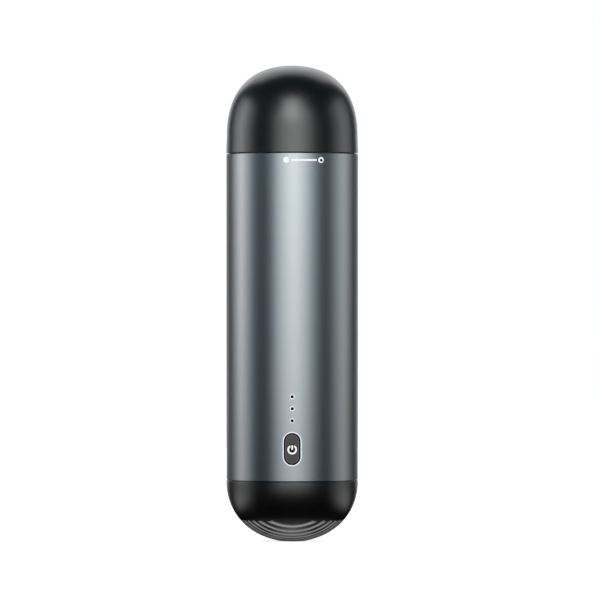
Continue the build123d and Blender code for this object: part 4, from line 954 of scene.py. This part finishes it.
# %% The floor
floor_finish = Finish("floor_white", grey(0.82), 0.9, Specular_IOR_Level=0.0)
x, y, _ = floor_finish.axes()
away = floor_finish.spread(floor_finish.distance(x, y, 0.0), 0.0, 1.0, 0.2, 0.7)
floor = plate("stage_floor", (-6.0, -4.0), (6.0, 8.0), -0.0001, glowing(floor_finish, away, 0.8, 1.0))
floor.visible_glossy = floor.visible_shadow = False

# %% The card under the tail
card = Finish("card_white", grey(0.0), 1.0, Specular_IOR_Level=0.0)
x, y, _ = card.axes()
radius = card.distance(x, y, 0.0)
outer = card.spread(radius, 0.0, 1.0, 0.0215, 0.0245)
middle = card.spread(radius, 0.0, 1.0, 0.011, 0.0145) * (1.0 - outer)
middle = middle * card.spread(abs(x), 1.0, 0.0, 0.002, 0.014)
glow = middle + 0.4 * outer * card.spread(radius, 1.0, 0.0, 0.025, 0.031)
card_material = glowing(card, glow, 0.0, 0.65)
mirrored_only(plate("stage_card", (-0.034, -0.034), (0.034, 0.0), 0.00005, card_material))

# %% The table
table = Finish("table_glow", grey(0.0), 1.0, Specular_IOR_Level=0.0)
x, y, _ = table.axes()
radius = table.distance(x, y, 0.0)
ahead = table.spread(abs(x) / radius, 1.0, 0.0, 0.22, 0.64)
ahead = ahead * table.spread(radius, 0.0, 1.0, 0.08, 0.14)
ahead = ahead * table.spread(radius, 0.5, 0.9, 0.2, 0.5)
beside = table.spread(abs(y) / radius, 0.34, 0.0, 0.1, 0.5)
beside = beside * table.spread(radius, 0.0, 1.0, 0.045, 0.07)
beside = beside * table.spread(radius, 1.6, 1.0, 0.1, 0.25)
table_material = glowing(table, ahead + beside, 0.0, 1.2)
mirrored_only(plate("stage_table", (-3.0, -3.0), (3.0, 3.0), 0.00002, table_material))

# %% [markdown]
# ## The world
#
# The world has two faces. The camera sees plain white. Everything else sees a dim blue, which is all that the
# satin metal gets between the softboxes. The dark bands on the tube are its reflection, as they are of the
# dark cards that a photographer puts between the lamps.

# %% A white world for the camera, a dim one for the metal
world = bpy.data.worlds.new("studio")
bpy.context.scene.world = world
world.use_nodes = True
tree = world.node_tree
dim = tree.nodes["Background"]
dim.inputs["Color"].default_value = (0.012, 0.032, 0.043, 1.0)
white = tree.nodes.new("ShaderNodeBackground")
white.inputs["Color"].default_value = grey(1.0)
ray = tree.nodes.new("ShaderNodeLightPath")
either = tree.nodes.new("ShaderNodeMixShader")
tree.links.new(ray.outputs["Is Camera Ray"], either.inputs[0])
tree.links.new(dim.outputs[0], either.inputs[1])
tree.links.new(white.outputs[0], either.inputs[2])
tree.links.new(either.outputs[0], tree.nodes["World Output"].inputs[0])
print("world for the metal", [round(part, 3) for part in dim.inputs["Color"].default_value])

# %% [markdown]
# ## Softboxes
#
# On satin metal a highlight is the picture of a lamp, so each lamp is given by the directions it fills, seen
# from the object: a range of azimuths (0 at the camera, positive to its right) and of elevations. The bands
# of light on the tube in the photograph tell where they have to be, and how bright each is. A painted world
# could light it too, but lamps can be moved and dimmed one by one. A wide box stands in front, and smaller
# ones within its range make the middle of the highlight brighter and the nozzle cap's glow rounder. A wide
# and a narrow box stand at each side, two high ones behind draw the crescent on the crown, and a low one
# behind lights the silhouettes. The last lamp is kept out of the reflections, and only lights what is matt:
# the printed marks, the button and the floor.


# %% Lamps
def softbox(name, azimuths, elevations, radiance, glossy=True, reach=1.5):
    """An area lamp that fills a range of directions, in degrees, seen from the middle of the object. Its
    power is pi times its radiance times its area."""
    azimuth, elevation = (radians(sum(pair) / 2) for pair in (azimuths, elevations))
    data = bpy.data.lights.new(name, "AREA")
    data.shape = "RECTANGLE"
    data.size = 2 * reach * tan(radians(azimuths[1] - azimuths[0]) / 2)
    data.size_y = 2 * reach * tan(radians(elevations[1] - elevations[0]) / 2)
    data.energy = radiance * data.size * data.size_y * pi
    lamp = bpy.data.objects.new(name, data)
    bpy.context.scene.collection.objects.link(lamp)
    level = cos(elevation)
    direction = Vector((sin(azimuth) * level, -cos(azimuth) * level, sin(elevation)))
    lamp.location = Vector((0, 0, 0.12)) + reach * direction
    lamp.rotation_euler = direction.to_track_quat("Z", "Y").to_euler()
    lamp.visible_camera = False
    lamp.visible_glossy = glossy


lamps = {
    "front_wide": ((-30, 34), (-8, 34), 0.95),
    "front_mid": ((-14, 22), (-8, 20), 0.4),
    "front_core": ((-2, 10), (-8, 50), 0.45),
    "front_key": ((-14, 22), (20, 50), 0.8),
    "front_top": ((-14, 10), (20, 50), 1.45),
    "front_right": ((34, 46), (-8, 6), 0.5),
    "left_wide": ((-124, -76), (-3, 32), 0.7),
    "left_strip": ((-108, -92), (-20, 32), 0.88),
    "right_wide": ((76, 124), (-3, 32), 0.45),
    "right_strip": ((92, 108), (-20, 32), 0.42),
    "crown_light": ((150, 210), (22, 66), 1.05),
    "crown_core": ((158, 202), (20, 46), 0.45),
    "rear_light": ((150, 210), (-14, 22), 0.7),
}
for name, (azimuths, elevations, radiance) in lamps.items():
    softbox(name, azimuths, elevations, radiance)
softbox("fill_light", (-50, 50), (5, 70), 0.5, glossy=False)
print("lamps", len(lamps) + 1)

# %% [markdown]
# ## The camera
#
# The photograph is taken level and from far away, because the seams hardly curve. The lens follows from the
# distance and from the size of the object in the picture, and a small shift puts the object's axis and foot
# where the photograph has them.

# %% The camera
picture_size, axis_column, level_row = 600, 292.18, 276.7
metres_a_pixel = 0.0004972
camera_distance, camera_height = 2.809, 0.1313
camera_data = bpy.data.cameras.new("camera")
camera_data.sensor_width = 36.0
camera_data.lens = camera_distance * camera_data.sensor_width / (picture_size * metres_a_pixel)
camera_data.shift_x = (picture_size / 2 - axis_column) / picture_size
camera_data.shift_y = (level_row - picture_size / 2) / picture_size
camera = bpy.data.objects.new("camera", camera_data)
bpy.context.scene.collection.objects.link(camera)
camera.location = (0, -camera_distance, camera_height)
camera.rotation_euler = (radians(90), 0, 0)
bpy.context.scene.camera = camera
bpy.context.scene.view_settings.view_transform = "Standard"
print("lens", round(camera_data.lens, 1), "mm")
